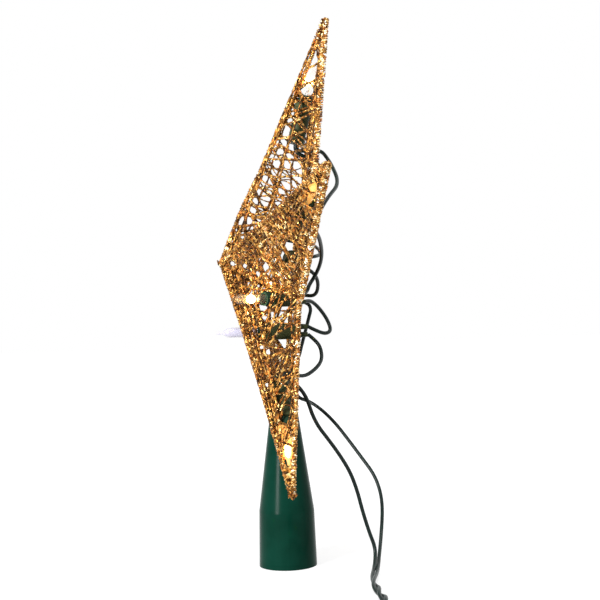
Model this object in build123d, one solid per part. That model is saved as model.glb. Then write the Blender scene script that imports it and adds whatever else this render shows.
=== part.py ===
from build123d import *

import math
import os

# Tree topper: a five-pointed star of wound thread on a wire frame, lit from inside.
# It stands on a hollow cone that goes over the tree's leader.
# Millimetres. +Z is up, the star's front faces -Y, and the origin is the centre of the cone's mouth.

# Star frame
star_radius = 131.0
inner_radius = 50.0
apex_depth = 42.0
tip_blunt = 1.0
star_lean = 6.35
star_centre_y = 11.9
star_lift = 53.4
arm_count = 5
frame_wire_d = 2.0
valley_wire_d = 1.8
weld_gap = 0.06
hub_d = 6.6

# Wound web
web_thickness = 1.2
thread_width = 1.5
web_gap = 0.25
lamp_hole_gap = 0.4
web_rim = 1.2
net_rungs = 8
back_rungs = 7
zigzag_share = 0.5
fan_end_share = 0.45
middle_share = 0.5
slot_length = 14.0
slot_width = 11.0
slot_corner = 2.0
slot_step = 8.3
corner_clear = 3.4
wire_hole_d = 14.0
wire_hole_across_share = 0.1
wire_hole_up_share = 0.06

# Cone for the tree's leader
cone_mouth_d = 29.4
cone_shoulder_d = 28.1
cone_shoulder_height = 28.0
cone_top_d = 9.0
cone_height = 97.0
cone_wall = 1.3
cone_plug_length = 12.0
leader_bore_d = 25.6
leader_bore_length = 26.0
stem_d = 2.4
stem_tail = 6.0

# Lamp holders and lamps
holder_d = 8.4
holder_flange_d = 9.2
holder_flange_length = 2.5
holder_length = 21.0
holder_bore_d = 6.0
holder_bore_depth = 12.0
lamp_plug_d = 4.8
lamp_plug_length = 9.0
lamp_collar_d = 6.8
lamp_collar_length = 4.0
glass_d = 5.0
glass_wall = 0.4
glass_seat_depth = 2.0
glass_seat_gap = 0.05
glass_length = 22.7
glass_dome_length = 4.0
nipple_d = 1.8
nipple_length = 3.4
contact_width = 1.6
contact_thickness = 0.35
contact_length = 9.0
contact_gap = 0.1
seat_gap = 0.3
front_low_stand_out = 4.2
front_side_stand_out = 1.0

# String wire, and the pair of leads that twist together on the floor
wire_d = 1.9
wire_spacing = 4.0
drawn_star_radius = 131.0
drawn_star_height = 150.4
arm_wire_out = 3.4
slot_wire_step = 6.0
slot_wire_rise = 3.2
front_wire_out = 5.0
centre_wire_out = 4.2
arc_share = 0.45
pair_d = 4.0
butt_gap = 0.1

# Put-away coil of the twisted pair, and its tie
coil_x = 146.0
coil_y = 22.1
coil_floor_gap = 1.2
coil_outer_r = 23.3
coil_pitch = 4.5
tie_gap = 0.3
tie_thickness = 0.8
tie_width = 3.0

# Plug with a fuse drawer in its back
plug_x = 184.0
plug_y = 22.0
plug_length = 30.0
plug_width = 18.0
plug_height = 13.0
plug_corner = 2.5
door_length = 17.0
door_top_width = 10.0
door_flare = 1.0
door_thickness = 2.0
door_gap = 0.1
fuse_d = 3.6
fuse_length = 10.0
fuse_gap = 0.3
fuse_end_room = 1.0
blade_spacing = 12.7
blade_width = 6.35
blade_thickness = 1.5
blade_length = 17.0
blade_root = 8.0
blade_height = 5.0

cut_overrun = 5.0

star_centre_z = cone_height + star_lift

os.makedirs("parts", exist_ok=True)

star_place = Location((0, star_centre_y, star_centre_z), (-star_lean, 0, 0))
star_centre = star_place.position
front_way = (star_place * Location((0, -1, 0))).position - star_centre
arm_step = 360 / arm_count
half_step = arm_step / 2
frame_r = frame_wire_d / 2
valley_r = valley_wire_d / 2
half_web = web_thickness / 2


def star_way(angle):
    """The direction in the star's back plane at an angle from its right-hand side."""
    turn = math.radians(angle)
    return (star_place * Location((math.cos(turn), 0, math.sin(turn)))).position - star_centre


def star_point(angle, radius, front=0):
    """A point by its angle and radius in the star's back plane and its distance in front of it."""
    return star_centre + star_way(angle) * radius + front_way * front


def rod(start, end, diameter):
    """A round bar from one point to another."""
    length = (end - start).length
    bar = Cylinder(diameter / 2, length, align=(Align.CENTER, Align.CENTER, Align.MIN))
    return Plane(origin=start, z_dir=end - start) * bar


def save(shapes, name):
    """Writes one node, made of one or more separate solids."""
    solids = [solid for shape in shapes for solid in shape.solids()]
    node = solids[0] if len(solids) == 1 else Compound(children=solids)
    node.label = name
    export_step(node, os.path.join("parts", name + ".step"))


arm_angles = {
    "top": 90,
    "right_upper": 90 - arm_step,
    "right_lower": 90 - 2 * arm_step,
    "left_lower": 90 + 2 * arm_step,
    "left_upper": 90 + arm_step,
}
apex = star_point(0, 0, apex_depth)


# Frame wires: ten edges, five ridges and five valleys.
# Each ends just clear of the wires it is welded to.

def edge_wire(tip_angle, inner_angle):
    """One straight side of an arm, mitred on the arm's middle plane and on the plane of the inner corner."""
    tip = star_point(tip_angle, star_radius)
    inner = star_point(inner_angle, inner_radius)
    spare = (inner - tip).normalized() * cut_overrun
    wire = rod(tip - spare, inner + spare, frame_wire_d)
    quarter = math.copysign(90, inner_angle - tip_angle)
    tip_side = star_way(tip_angle + quarter)
    inner_side = star_way(inner_angle - quarter)
    wire = split(wire, Plane(origin=star_centre, z_dir=tip_side), keep=Keep.TOP)
    wire = split(wire, Plane(origin=star_centre, z_dir=inner_side), keep=Keep.TOP)
    blunt_end = star_point(tip_angle, star_radius - tip_blunt)
    return split(wire, Plane(origin=blunt_end, z_dir=star_way(tip_angle)), keep=Keep.BOTTOM)


def weld_set_back(wire_way, neighbour_way, wire_r):
    """How far from a shared corner a wire ends so that its end just clears the neighbouring edge wire."""
    turn = math.radians(wire_way.get_angle(neighbour_way))
    return (frame_r + weld_gap + wire_r * abs(math.cos(turn))) / math.sin(turn)


def spoke_wire(corner, neighbour, diameter):
    """A wire from a corner of the outline to the boss at the apex."""
    way = (apex - corner).normalized()
    start = corner + way * weld_set_back(way, neighbour - corner, diameter / 2)
    end = apex - way * (hub_d / 2 + weld_gap)
    return rod(start, end, diameter)


edge_wires = []
ridge_wires = []
valley_wires = []
for angle in arm_angles.values():
    tip = star_point(angle, star_radius)
    inner = star_point(angle + half_step, inner_radius)
    edge_wires.append(edge_wire(angle, angle + half_step))
    edge_wires.append(edge_wire(angle, angle - half_step))
    ridge_wires.append(spoke_wire(tip, inner, frame_wire_d))
    valley_wires.append(spoke_wire(inner, tip, valley_wire_d))
save(edge_wires, "edge_wires")
save(ridge_wires, "ridge_wires")
save(valley_wires, "valley_wires")
save([Pos(*apex) * Sphere(hub_d / 2)], "apex_boss")


# Cone and the stem that joins it to the star

cone_top_r = cone_top_d / 2
cone_shoulder_r = cone_shoulder_d / 2
leader_bore_r = leader_bore_d / 2
stem_r = stem_d / 2
taper = (cone_shoulder_r - cone_top_r) / (cone_height - cone_shoulder_height)
plug_bottom = cone_height - cone_plug_length
plug_bottom_r = cone_top_r + taper * cone_plug_length - cone_wall
cone_profile = Polyline(
    (cone_mouth_d / 2, 0),
    (cone_shoulder_r, cone_shoulder_height),
    (cone_top_r, cone_height),
    (stem_r, cone_height),
    (stem_r, plug_bottom),
    (plug_bottom_r, plug_bottom),
    (leader_bore_r, leader_bore_length),
    (leader_bore_r, 0),
    close=True,
)
save([revolve(Plane.XZ * make_face(cone_profile), Axis.Z)], "tree_cone")

low_corner = star_point(-90, inner_radius)
valley_way = (apex - low_corner).normalized()
valley_over_axis = low_corner + valley_way * (-low_corner.Y / valley_way.Y)
valley_rise = abs(valley_way.Z / valley_way.Y)
stem_top = valley_over_axis.Z - stem_r * valley_rise - valley_r / abs(valley_way.Y) - weld_gap
save([rod(Vector(0, 0, plug_bottom - stem_tail), Vector(0, 0, stem_top), stem_d)], "stem_wire")


# Lamp holders and lamps, made along +Z with the holder's mouth at the origin

def turned(points):
    """A solid of revolution about Z from points given as radius and height."""
    return revolve(Plane.XZ * make_face(Polyline(*points, close=True)), Axis.Z)


def holder_solid():
    """A stepped plastic tube, closed behind, with a bore for the lamp's plug."""
    body_r = holder_d / 2
    flange_r = holder_flange_d / 2
    bore_r = holder_bore_d / 2
    return turned([
        (0, -holder_length),
        (body_r, -holder_length),
        (body_r, -holder_flange_length),
        (flange_r, -holder_flange_length),
        (flange_r, 0),
        (bore_r, 0),
        (bore_r, -holder_bore_depth),
        (0, -holder_bore_depth),
    ])


def contact_solids():
    """Two brass strips that stand on the floor of the bore, either side of the lamp's plug."""
    reach = lamp_plug_d / 2 + contact_gap + contact_thickness / 2
    upright = (Align.CENTER, Align.CENTER, Align.MIN)
    strip = Box(contact_thickness, contact_width, contact_length, align=upright)
    return [Pos(side * reach, 0, -holder_bore_depth) * strip for side in (-1, 1)]


def lamp_base_solid():
    """A plastic plug with a collar, and a seat in the collar for the glass."""
    plug_r = lamp_plug_d / 2
    collar_r = lamp_collar_d / 2
    seat_r = glass_d / 2 + glass_seat_gap
    return turned([
        (0, -lamp_plug_length),
        (plug_r, -lamp_plug_length),
        (plug_r, 0),
        (collar_r, 0),
        (collar_r, lamp_collar_length),
        (seat_r, lamp_collar_length),
        (seat_r, lamp_collar_length - glass_seat_depth),
        (0, lamp_collar_length - glass_seat_depth),
    ])


lamp_reach = lamp_collar_length - glass_seat_depth + glass_length


def glass_solid():
    """A glass tube, open where it stands in its base and drawn to a nipple at the tip."""
    outer_r = glass_d / 2
    inner_r = outer_r - glass_wall
    nipple_r = nipple_d / 2
    bottom = lamp_collar_length - glass_seat_depth
    dome_end = lamp_reach - nipple_length
    dome_start = dome_end - glass_dome_length
    inner_end = dome_end - glass_wall
    nipple_shoulder = lamp_reach - nipple_r
    outline = [
        Line((outer_r, bottom), (outer_r, dome_start)),
        TangentArc((outer_r, dome_start), (nipple_r, dome_end), tangent=(0, 1)),
        Line((nipple_r, dome_end), (nipple_r, nipple_shoulder)),
        TangentArc((nipple_r, nipple_shoulder), (0, lamp_reach), tangent=(0, 1)),
        Line((0, lamp_reach), (0, inner_end)),
        TangentArc((inner_r, dome_start), (0, inner_end), tangent=(0, 1)),
        Line((inner_r, dome_start), (inner_r, bottom)),
        Line((inner_r, bottom), (outer_r, bottom)),
    ]
    return revolve(Plane.XZ * make_face(outline), Axis.Z)


# Where each lamp stands: a plane at its holder's mouth.
# Z runs towards the lamp's tip and X across its two wires.

arm_reach_shares = {
    "top": 0.17,
    "right_upper": 0.145,
    "right_lower": 0.135,
    "left_lower": 0.135,
    "left_upper": 0.145,
}
front_lamps = {
    "front_low": {"across_share": 0.26, "up_share": -0.62, "yaw": 0, "stand_out": front_low_stand_out},
    "front_right": {"across_share": 0.32, "up_share": -0.29, "yaw": 35, "stand_out": front_side_stand_out},
    "front_left": {"across_share": -0.32, "up_share": -0.29, "yaw": -35, "stand_out": front_side_stand_out},
}
centre_lamp = {"across_share": -0.06, "up_share": 0.06, "angle": 172}

corner_front = star_radius - inner_radius * math.cos(math.radians(half_step))
side_slope = inner_radius * math.sin(math.radians(half_step)) / corner_front
ridge_slope = apex_depth / star_radius
centring_slope = side_slope * ridge_slope / (side_slope + math.hypot(side_slope, ridge_slope))


def arm_lamp_plane(name):
    """A lamp in an arm, on the line that keeps equally far from the arm's three sides."""
    angle = arm_angles[name]
    inward = (star_way(angle + 180) + front_way * centring_slope).normalized()
    reach = star_radius * arm_reach_shares[name] + lamp_reach
    mouth = star_point(angle, star_radius) + inward * reach
    return Plane(origin=mouth, x_dir=star_way(angle + 90), z_dir=-inward)


def back_spot(across_share, up_share):
    """A point of the back plane by its shares of the inner radius."""
    across = star_way(0) * (inner_radius * across_share)
    up = star_way(90) * (inner_radius * up_share)
    return star_centre + across + up


def front_lamp_plane(across_share, up_share, yaw, stand_out):
    """A lamp that stands level through the back web and points out of the front, turned by its yaw."""
    behind = back_spot(across_share, up_share)
    way = Vector(math.sin(math.radians(yaw)), -math.cos(math.radians(yaw)), 0)
    mouth = behind + Vector(0, stand_out, 0) + way * holder_length
    return Plane(origin=mouth, x_dir=(0, 0, 1), z_dir=way)


def centre_lamp_plane(across_share, up_share, angle):
    """A lamp that lies inside the star against the back web."""
    lift = half_web + seat_gap + holder_flange_d / 2
    behind = back_spot(across_share, up_share)
    mouth = behind + front_way * lift + star_way(angle) * holder_length
    return Plane(origin=mouth, x_dir=star_way(angle + 90), z_dir=star_way(angle))


lamp_planes = {name: arm_lamp_plane(name) for name in arm_angles}
for name, place in front_lamps.items():
    lamp_planes[name] = front_lamp_plane(**place)
lamp_planes["centre"] = centre_lamp_plane(**centre_lamp)

contacts = []
for name, place in lamp_planes.items():
    save([place * holder_solid()], "holder_" + name)
    save([place * lamp_base_solid()], "lamp_base_" + name)
    save([place * glass_solid()], "lamp_glass_" + name)
    contacts += [place * strip for strip in contact_solids()]
save(contacts, "holder_contacts")


# Web panels: flat open nets of crossing threads, each set just inside the wires that carry it

def inset(corners, margins):
    """The corners of a polygon whose sides have moved inwards, with one margin for each side."""
    moved = []
    for here in range(len(corners)):
        lines = []
        for first in (here - 1, here):
            start = Vector(*corners[first])
            way = (Vector(*corners[(first + 1) % len(corners)]) - start).normalized()
            lines.append((start + Vector(-way.Y, way.X) * margins[first], way))
        (p, u), (q, v) = lines
        across = u.X * v.Y - u.Y * v.X
        run = ((q.X - p.X) * v.Y - (q.Y - p.Y) * v.X) / across
        moved.append((p.X + u.X * run, p.Y + u.Y * run))
    return moved


def on_line(corners, share):
    """The point at a share of the length of a line through some corners."""
    points = [Vector(*corner) for corner in corners]
    runs = [(b - a).length for a, b in zip(points, points[1:])]
    left = share * sum(runs)
    for a, b, run in zip(points, points[1:], runs):
        if left <= run:
            return a + (b - a) * (left / run)
        left -= run
    return points[-1]


def thread(start, end):
    """One straight thread of a flat net, a little longer than its two ends."""
    way = (end - start).normalized() * thread_width / 2
    side = Vector(-way.Y, way.X)
    corners = [start - way - side, end + way - side, end + way + side, start - way + side]
    return Polygon(*[(corner.X, corner.Y) for corner in corners], align=None)


def net_face(outline, threads):
    """Threads inside a border band, as one face with holes."""
    border = [thread_width] * len(outline)
    whole = Polygon(*outline, align=None)
    band = whole - Polygon(*inset(outline, border), align=None)
    return (band + threads) & whole


def facet_net():
    """A front panel in its own plane: X runs along the ridge from the tip, and +Y to the inner corner."""
    tip = star_point(0, star_radius)
    ridge = apex - tip
    side = star_point(half_step, inner_radius) - tip
    along = side.dot(ridge.normalized())
    corner = (along, math.sqrt(side.length ** 2 - along ** 2))
    corners = inset(
        [(0, 0), (ridge.length, 0), corner],
        [frame_r + web_gap, valley_r + web_gap, frame_r + web_gap],
    )
    low, high, far = corners
    threads = []
    for rung in range(1, net_rungs):
        near = on_line([low, high], rung / net_rungs)
        for shift in (-zigzag_share, zigzag_share):
            threads.append(thread(near, on_line([low, far, high], (rung + shift) / net_rungs)))
    threads.append(thread(Vector(*low), on_line([high, far], fan_end_share)))
    return corners, net_face(corners, threads)


def arm_back_net(slot_at):
    """The back of an arm: X runs from the tip inwards, with a slot where the lamp's wires come out."""
    dihedral = math.atan2(ridge_slope, side_slope * math.cos(math.atan(side_slope)))
    side_margin = half_web / math.tan(dihedral / 2) + web_gap
    half_root = corner_front * side_slope
    corners = inset(
        [(0, 0), (corner_front, -half_root), (corner_front, half_root)],
        [side_margin, web_gap / 2, side_margin],
    )
    low, right, left = corners
    threads = []
    for rung in range(1, back_rungs):
        for shift in (-zigzag_share, zigzag_share):
            start = on_line([low, right], rung / back_rungs)
            threads.append(thread(start, on_line([low, left], (rung + shift) / back_rungs)))
    rim_length = slot_length + 2 * web_rim
    rim_width = slot_width + 2 * web_rim
    slot = Pos(slot_at, 0) * RectangleRounded(slot_length, slot_width, slot_corner)
    rim = Pos(slot_at, 0) * RectangleRounded(rim_length, rim_width, slot_corner + web_rim)
    return (net_face(corners, threads) + rim) - slot


def plate(face, plane):
    """A net's face as a thin panel, half its thickness either side of its plane."""
    return plane * extrude(face, amount=half_web, both=True)


def pierced(panel, whole, lamp_plane, hole_r):
    """A panel with its threads gathered in a rim round a lamp that passes through it."""
    length = 2 * (holder_length + lamp_reach)
    bore = lamp_plane * Cylinder(hole_r, length)
    rim = whole & (lamp_plane * Cylinder(hole_r + web_rim, length))
    return (panel + rim) - bore


facet_corners, facet_face = facet_net()
facet_whole = Polygon(*facet_corners, align=None)
lamp_hole_r = lamp_collar_d / 2 + lamp_hole_gap
facet_lamps = {
    ("right_lower", -1): "front_low",
    ("right_lower", 1): "front_right",
    ("left_lower", -1): "front_left",
}
for name, angle in arm_angles.items():
    tip = star_point(angle, star_radius)
    panels = []
    for side in (-1, 1):
        inner = star_point(angle + side * half_step, inner_radius)
        facet_plane = Plane(origin=tip, x_dir=apex - tip, z_dir=(apex - tip).cross(inner - tip))
        panel = plate(facet_face, facet_plane)
        if (name, side) in facet_lamps:
            lamp_plane = lamp_planes[facet_lamps[(name, side)]]
            panel = pierced(panel, plate(facet_whole, facet_plane), lamp_plane, lamp_hole_r)
        panels.append(panel)
    holder_end = lamp_planes[name].origin - lamp_planes[name].z_dir * holder_length
    slot_at = (holder_end - tip).dot(star_way(angle + 180)) + slot_step
    back_plane = Plane(origin=tip, x_dir=star_way(angle + 180), z_dir=front_way)
    panels.append(plate(arm_back_net(slot_at), back_plane))
    save(panels, "arm_web_" + name)


def back_centre_net():
    """The five-sided middle of the back, with a hole where the centre lamp's wires come out."""
    points = []
    for corner in range(arm_count):
        turn = math.radians(half_step / 2 + half_step + corner * arm_step)
        points.append((inner_radius * math.cos(turn), inner_radius * math.sin(turn)))
    corners = inset(points, [web_gap / 2] * arm_count)
    threads = []
    for here in range(arm_count):
        start = Vector(*corners[here])
        facing = [corners[(here + step) % arm_count] for step in (2, 3)]
        threads.append(thread(start, Vector(*facing[0])))
        threads.append(thread(start, on_line(facing, middle_share)))
    hole_place = Pos(inner_radius * wire_hole_across_share, inner_radius * wire_hole_up_share)
    face = net_face(corners, threads) + hole_place * Circle(wire_hole_d / 2 + web_rim)
    face -= hole_place * Circle(wire_hole_d / 2)
    for point in points:
        face -= Pos(*point) * Circle(corner_clear)
    return face, Polygon(*corners, align=None)


back_middle = Plane(origin=star_centre, x_dir=(1, 0, 0), z_dir=front_way)
back_face, back_whole = back_centre_net()
back_panel = plate(back_face, back_middle)
holder_hole_r = holder_flange_d / 2 + seat_gap
for name in front_lamps:
    back_panel = pierced(back_panel, plate(back_whole, back_middle), lamp_planes[name], holder_hole_r)
save([back_panel], "back_web")


# String wires and leads. Each leaves its holder square to the holder's back.
# The points between are chosen by hand, in the row frame.

def wire_exit(lamp, side):
    """The first points of one of a holder's wires. In an arm, its third point is at the slot in the back."""
    place = lamp_planes[lamp]
    back = place.origin - place.z_dir * (holder_length + weld_gap)
    start = back + place.x_dir * (side * wire_spacing / 2)
    points = [start, start - place.z_dir * wire_outs[lamp]]
    if lamp in arm_angles:
        inward = star_way(arm_angles[lamp] + 180)
        height = (start - star_centre).dot(front_way)
        points.append(start + inward * slot_wire_step + front_way * (slot_wire_rise - height))
    return points


def with_star(point):
    """A hand-chosen point, which keeps its place behind the star when the star grows or is raised."""
    offset = Vector(*point) - Vector(0, star_centre_y, drawn_star_height)
    return star_centre + offset * (star_radius / drawn_star_radius)


def cord_tube(points, diameter, name):
    """A round cord through straight runs joined by arcs as large as the runs allow."""
    places = [Vector(*point) for point in points]
    runs = [b - a for a, b in zip(places, places[1:])]
    radii = []
    for first, second in zip(runs, runs[1:]):
        half_turn = math.radians(first.get_angle(second)) / 2
        radii.append(arc_share * min(first.length, second.length) / math.tan(half_turn))
    path = FilletPolyline(*places, radius=radii)
    start = Plane(origin=places[0], z_dir=runs[0])
    tube = sweep(start * Circle(diameter / 2), path=path)
    expected = math.pi * diameter ** 2 / 4 * path.length
    print(name, "length", round(path.length, 1), "least radius", round(min(radii), 1),
          "volume ratio", round(tube.volume / expected, 4))
    return tube


wire_outs = {name: arm_wire_out for name in arm_angles}
wire_outs.update({name: front_wire_out for name in front_lamps})
wire_outs["centre"] = centre_wire_out

string_ends = {
    "string_wire_1": [("front_low", -1), ("right_lower", 1)],
    "string_wire_2": [("front_low", 1), ("front_right", -1)],
    "string_wire_3": [("front_right", 1), ("right_upper", -1)],
    "string_wire_4": [("right_upper", 1), ("top", -1)],
    "string_wire_5": [("top", 1), ("left_upper", -1)],
    "string_wire_6": [("left_upper", 1), ("centre", -1)],
    "string_wire_7": [("centre", 1), ("front_left", 1)],
    "string_wire_8": [("front_left", -1), ("left_lower", -1)],
    "lead_wire_a": [("right_lower", -1)],
    "lead_wire_b": [("left_lower", 1)],
}
string_points = {
    "string_wire_1": [
        (14.5, 20, 113.6), (17, 20.8, 109), (20.8, 19.8, 105.2), (27, 17, 102.8), (34.2, 12.2, 101.8),
    ],
    "string_wire_2": [
        (12.2, 21.9, 119.8), (8.6, 24, 119.8), (7, 23.6, 123.2), (7.6, 21.4, 127.4), (9.6, 18.8, 131.4),
    ],
    "string_wire_3": [
        (12.4, 17.4, 142.6), (14.6, 18.7, 148.4), (20.6, 19.3, 153), (29, 19.7, 157.4), (39, 18.9, 161.6),
        (48, 18.4, 164.6), (54.8, 16.2, 166.4),
    ],
    "string_wire_4": [
        (53, 17, 172.9), (48.6, 19.6, 178.4), (44, 22.8, 184), (38, 26.2, 189.2), (30, 28.2, 194.4),
        (22, 27.9, 199.6), (13.6, 26.2, 204.2), (6, 22.8, 207.4),
    ],
    "string_wire_5": [
        (-4.4, 22.6, 204.6), (-9.4, 24.6, 197.6), (-17, 24.4, 190.4), (-26.6, 23.8, 184.4),
        (-37, 22.9, 179.2), (-46.4, 21, 174.8), (-53, 17, 172.3),
    ],
    "string_wire_6": [
        (-54, 17.4, 166.2), (-46, 20.8, 164.6), (-35, 22, 162.6), (-23, 22.2, 160.9), (-11, 21.8, 159.2),
        (-1, 21, 157.8), (6.4, 18.4, 156.8), (9.2, 12.2, 155.9), (6, 7.4, 155.1),
    ],
    "string_wire_7": [
        (4.6, 10.2, 150.6), (6.2, 15.6, 149.2), (3.4, 19.2, 145.8), (-2, 20.8, 141.6), (-8, 20, 137.6),
    ],
    "string_wire_8": [
        (-12, 17.5, 130.2), (-13, 17, 125), (-15.8, 15.5, 119.8), (-19.6, 14, 114.4), (-24.4, 13.2, 108.8),
        (-30, 13, 104.6), (-34.8, 11.2, 102.2),
    ],
    "lead_wire_a": [
        (33.6, 9.8, 96.6), (31.8, 10.6, 88.8), (30.6, 11.8, 80.8),
    ],
    "lead_wire_b": [
        (-33.9, 9.6, 96.4), (-33, 11, 88.8), (-30.8, 14.4, 81.8),
    ],
}
floor_points = {
    "lead_wire_a": [
        (29.2, 14.8, 73.5), (27, 20.2, 67), (25, 26.2, 58.7), (23, 31.4, 49.4), (21.4, 34.9, 39.3),
        (19.6, 37.6, 29), (18, 40, 19.6), (17.6, 42.4, 11.5), (19.6, 43.9, 5), (25, 44.4, 2.1),
        (31, 44.4, 2.1),
    ],
    "lead_wire_b": [
        (-27.4, 21.2, 76), (-24, 28, 69), (-20, 34.8, 59.5), (-16, 41.2, 49.9), (-12, 46.4, 42.2),
        (-8, 49.3, 34.2), (-3, 49.9, 26), (3, 48.9, 17.6), (9.5, 47.5, 10), (17, 46.6, 4.5),
        (24.6, 46.4, 2.1), (31, 46.4, 2.1),
    ],
}
for name, ends in string_ends.items():
    exits = [wire_exit(lamp, side) for lamp, side in ends]
    route = exits[0] + [with_star(point) for point in string_points[name]]
    if name in floor_points:
        route += floor_points[name]
    else:
        route += reversed(exits[1])
    save([cord_tube(route, wire_d, name)], name)

coil_low_z = coil_floor_gap + pair_d / 2
coil_high_z = coil_low_z + coil_pitch
coil_start = Vector(coil_x - pair_d, coil_y + coil_outer_r, coil_low_z)
pair_route = [
    (31.1, 45.4, 2.1), (42, 45.4, 2.1), (57, 46.4, 2.1), (74, 47.2, 2.1), (91, 47.3, 2.1),
    (107, 46.8, 2.3), (121, 46, 2.8), coil_start - Vector(2 * pair_d, 0, 0),
    coil_start - Vector(butt_gap, 0, 0),
]
save([cord_tube(pair_route, pair_d, "twisted_lead")], "twisted_lead")


def coil_points():
    """Where each half turn of the coil ends: in along the lower layer, up one, and out along the upper."""
    half_pitch = coil_pitch / 2
    inner_r = coil_outer_r - coil_pitch
    low = [coil_outer_r, -coil_outer_r, inner_r, -inner_r]
    high = [inner_r - coil_pitch, -(inner_r + half_pitch), inner_r + half_pitch]
    places = [Vector(coil_x, coil_y + reach, coil_low_z) for reach in low]
    return places + [Vector(coil_x, coil_y + reach, coil_high_z) for reach in high]


def coil_tube():
    """The put-away turns of the twisted pair, as one tube with a short straight stretch at each end."""
    places = coil_points()
    along = Vector(1, 0, 0)
    tail = along * pair_d
    edges = [Line(places[0] - tail, places[0])]
    heading = along
    for a, b in zip(places, places[1:]):
        middle = (a + b) / 2 + heading * ((b - a).length / 2)
        edges.append(ThreePointArc(a, middle, b))
        heading = heading * -1
    edges.append(Line(places[-1], places[-1] + tail))
    path = Wire(edges)
    tube = sweep(Plane(origin=places[0] - tail, z_dir=along) * Circle(pair_d / 2), path=path)
    return tube, path


def least_gap_to_itself(path, diameter):
    """The least gap between two stretches of a cord that are over three diameters apart along it."""
    count = int(path.length / diameter * 2)
    spots = [path.position_at(step / count) for step in range(count + 1)]
    skip = int(3 * diameter / (path.length / count)) + 1
    pairs = [(a, b) for a in range(count + 1) for b in range(a + skip, count + 1)]
    return min((spots[a] - spots[b]).length for a, b in pairs) - diameter


coil, coil_path = coil_tube()
save([coil], "lead_coil")
coil_section = math.pi * pair_d ** 2 / 4
coil_gap = least_gap_to_itself(coil_path, pair_d)
print("lead_coil length", round(coil_path.length, 1), "least gap", round(coil_gap, 2),
      "volume ratio", round(coil.volume / (coil_section * coil_path.length), 4))

tail_start = coil_points()[-1] + Vector(pair_d + butt_gap, 0, 0)
plug_entry = Vector(plug_x, plug_y + butt_gap, plug_height / 2)
tail_route = [
    tail_start, tail_start + Vector(2 * pair_d, 0, 0), (168, 42, 7.4), (177, 38.4, 7), (182.6, 32, 6.6),
    plug_entry + Vector(0, pair_d, 0), plug_entry,
]
save([cord_tube(tail_route, pair_d, "lead_tail")], "lead_tail")


# Tie round the coil, where three of its turns lie together

turns_width = coil_pitch + coil_pitch / 2
tie_inner_width = turns_width + pair_d + 2 * tie_gap
tie_inner_height = coil_pitch + pair_d + 2 * tie_gap
tie_at_x = coil_x + coil_outer_r + pair_d / 2 + tie_gap - tie_inner_width / 2
tie_at_z = (coil_low_z + coil_high_z) / 2
tie_outer_width = tie_inner_width + 2 * tie_thickness
tie_outer_height = tie_inner_height + 2 * tie_thickness
tie_face = RectangleRounded(tie_outer_width, tie_outer_height, tie_thickness + tie_gap)
tie_face -= RectangleRounded(tie_inner_width, tie_inner_height, tie_gap)
tie_plane = Plane(origin=(tie_at_x, coil_y, tie_at_z), x_dir=(1, 0, 0), z_dir=(0, 1, 0))
save([tie_plane * extrude(tie_face, amount=tie_width / 2, both=True)], "coil_tie")


# Plug, made along +X from the cord's end, lying on the floor

plug_plane = Plane(origin=(plug_x, plug_y, 0), x_dir=(0, -1, 0), z_dir=(0, 0, 1))
door_floor = plug_height - door_thickness
half_top = door_top_width / 2


def dovetail(start, length, gap):
    """A bar that is wider below than above, for the drawer and its channel in the plug's back."""
    half_low = half_top + door_flare
    outline = [
        (-half_low - gap, door_floor - gap),
        (half_low + gap, door_floor - gap),
        (half_top + gap, plug_height),
        (-half_top - gap, plug_height),
    ]
    end_plane = Plane(origin=(start, 0, 0), x_dir=(0, 1, 0), z_dir=(1, 0, 0))
    return extrude(end_plane * Polygon(*outline, align=None), amount=length)


def blade_solids():
    """Two flat blades that stand edge up, each with its root inside the plug."""
    level = (Align.MIN, Align.CENTER, Align.CENTER)
    blade = Box(blade_root + blade_length, blade_thickness, blade_width, align=level)
    start = plug_length - blade_root
    return [Pos(start, side * blade_spacing / 2, blade_height) * blade for side in (-1, 1)]


door_start = plug_length - door_length
pocket_length = fuse_length + 2 * fuse_end_room
pocket_width = 2 * fuse_d + 3 * fuse_gap
pocket_depth = fuse_d + fuse_gap
pocket_start = door_start + (door_length - pocket_length) / 2
pocket_floor = door_floor - door_gap - pocket_depth

plug_body = Box(plug_length, plug_width, plug_height, align=(Align.MIN, Align.CENTER, Align.MIN))
plug_body = fillet(plug_body.edges().filter_by(Axis.X), plug_corner)
plug_body -= dovetail(door_start - door_gap, door_length + door_gap + cut_overrun, door_gap)
plug_body -= Pos(pocket_start, 0, pocket_floor) * Box(
    pocket_length, pocket_width, pocket_depth + door_gap, align=(Align.MIN, Align.CENTER, Align.MIN)
)
for slot in blade_solids():
    plug_body -= slot
fuse_bar = Pos(pocket_start + fuse_end_room, 0, pocket_floor + fuse_d / 2) * (
    Plane.YZ * Cylinder(fuse_d / 2, fuse_length, align=(Align.CENTER, Align.CENTER, Align.MIN))
)
fuse_reach = (fuse_d + fuse_gap) / 2
save([plug_plane * plug_body], "plug_body")
save([plug_plane * blade for blade in blade_solids()], "plug_blades")
save([plug_plane * dovetail(door_start, door_length, 0)], "fuse_door")
save([plug_plane * Pos(0, side * fuse_reach, 0) * fuse_bar for side in (-1, 1)], "plug_fuses")
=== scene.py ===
import math
import random
from itertools import pairwise

import bpy
from mathutils import Matrix, Vector


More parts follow.
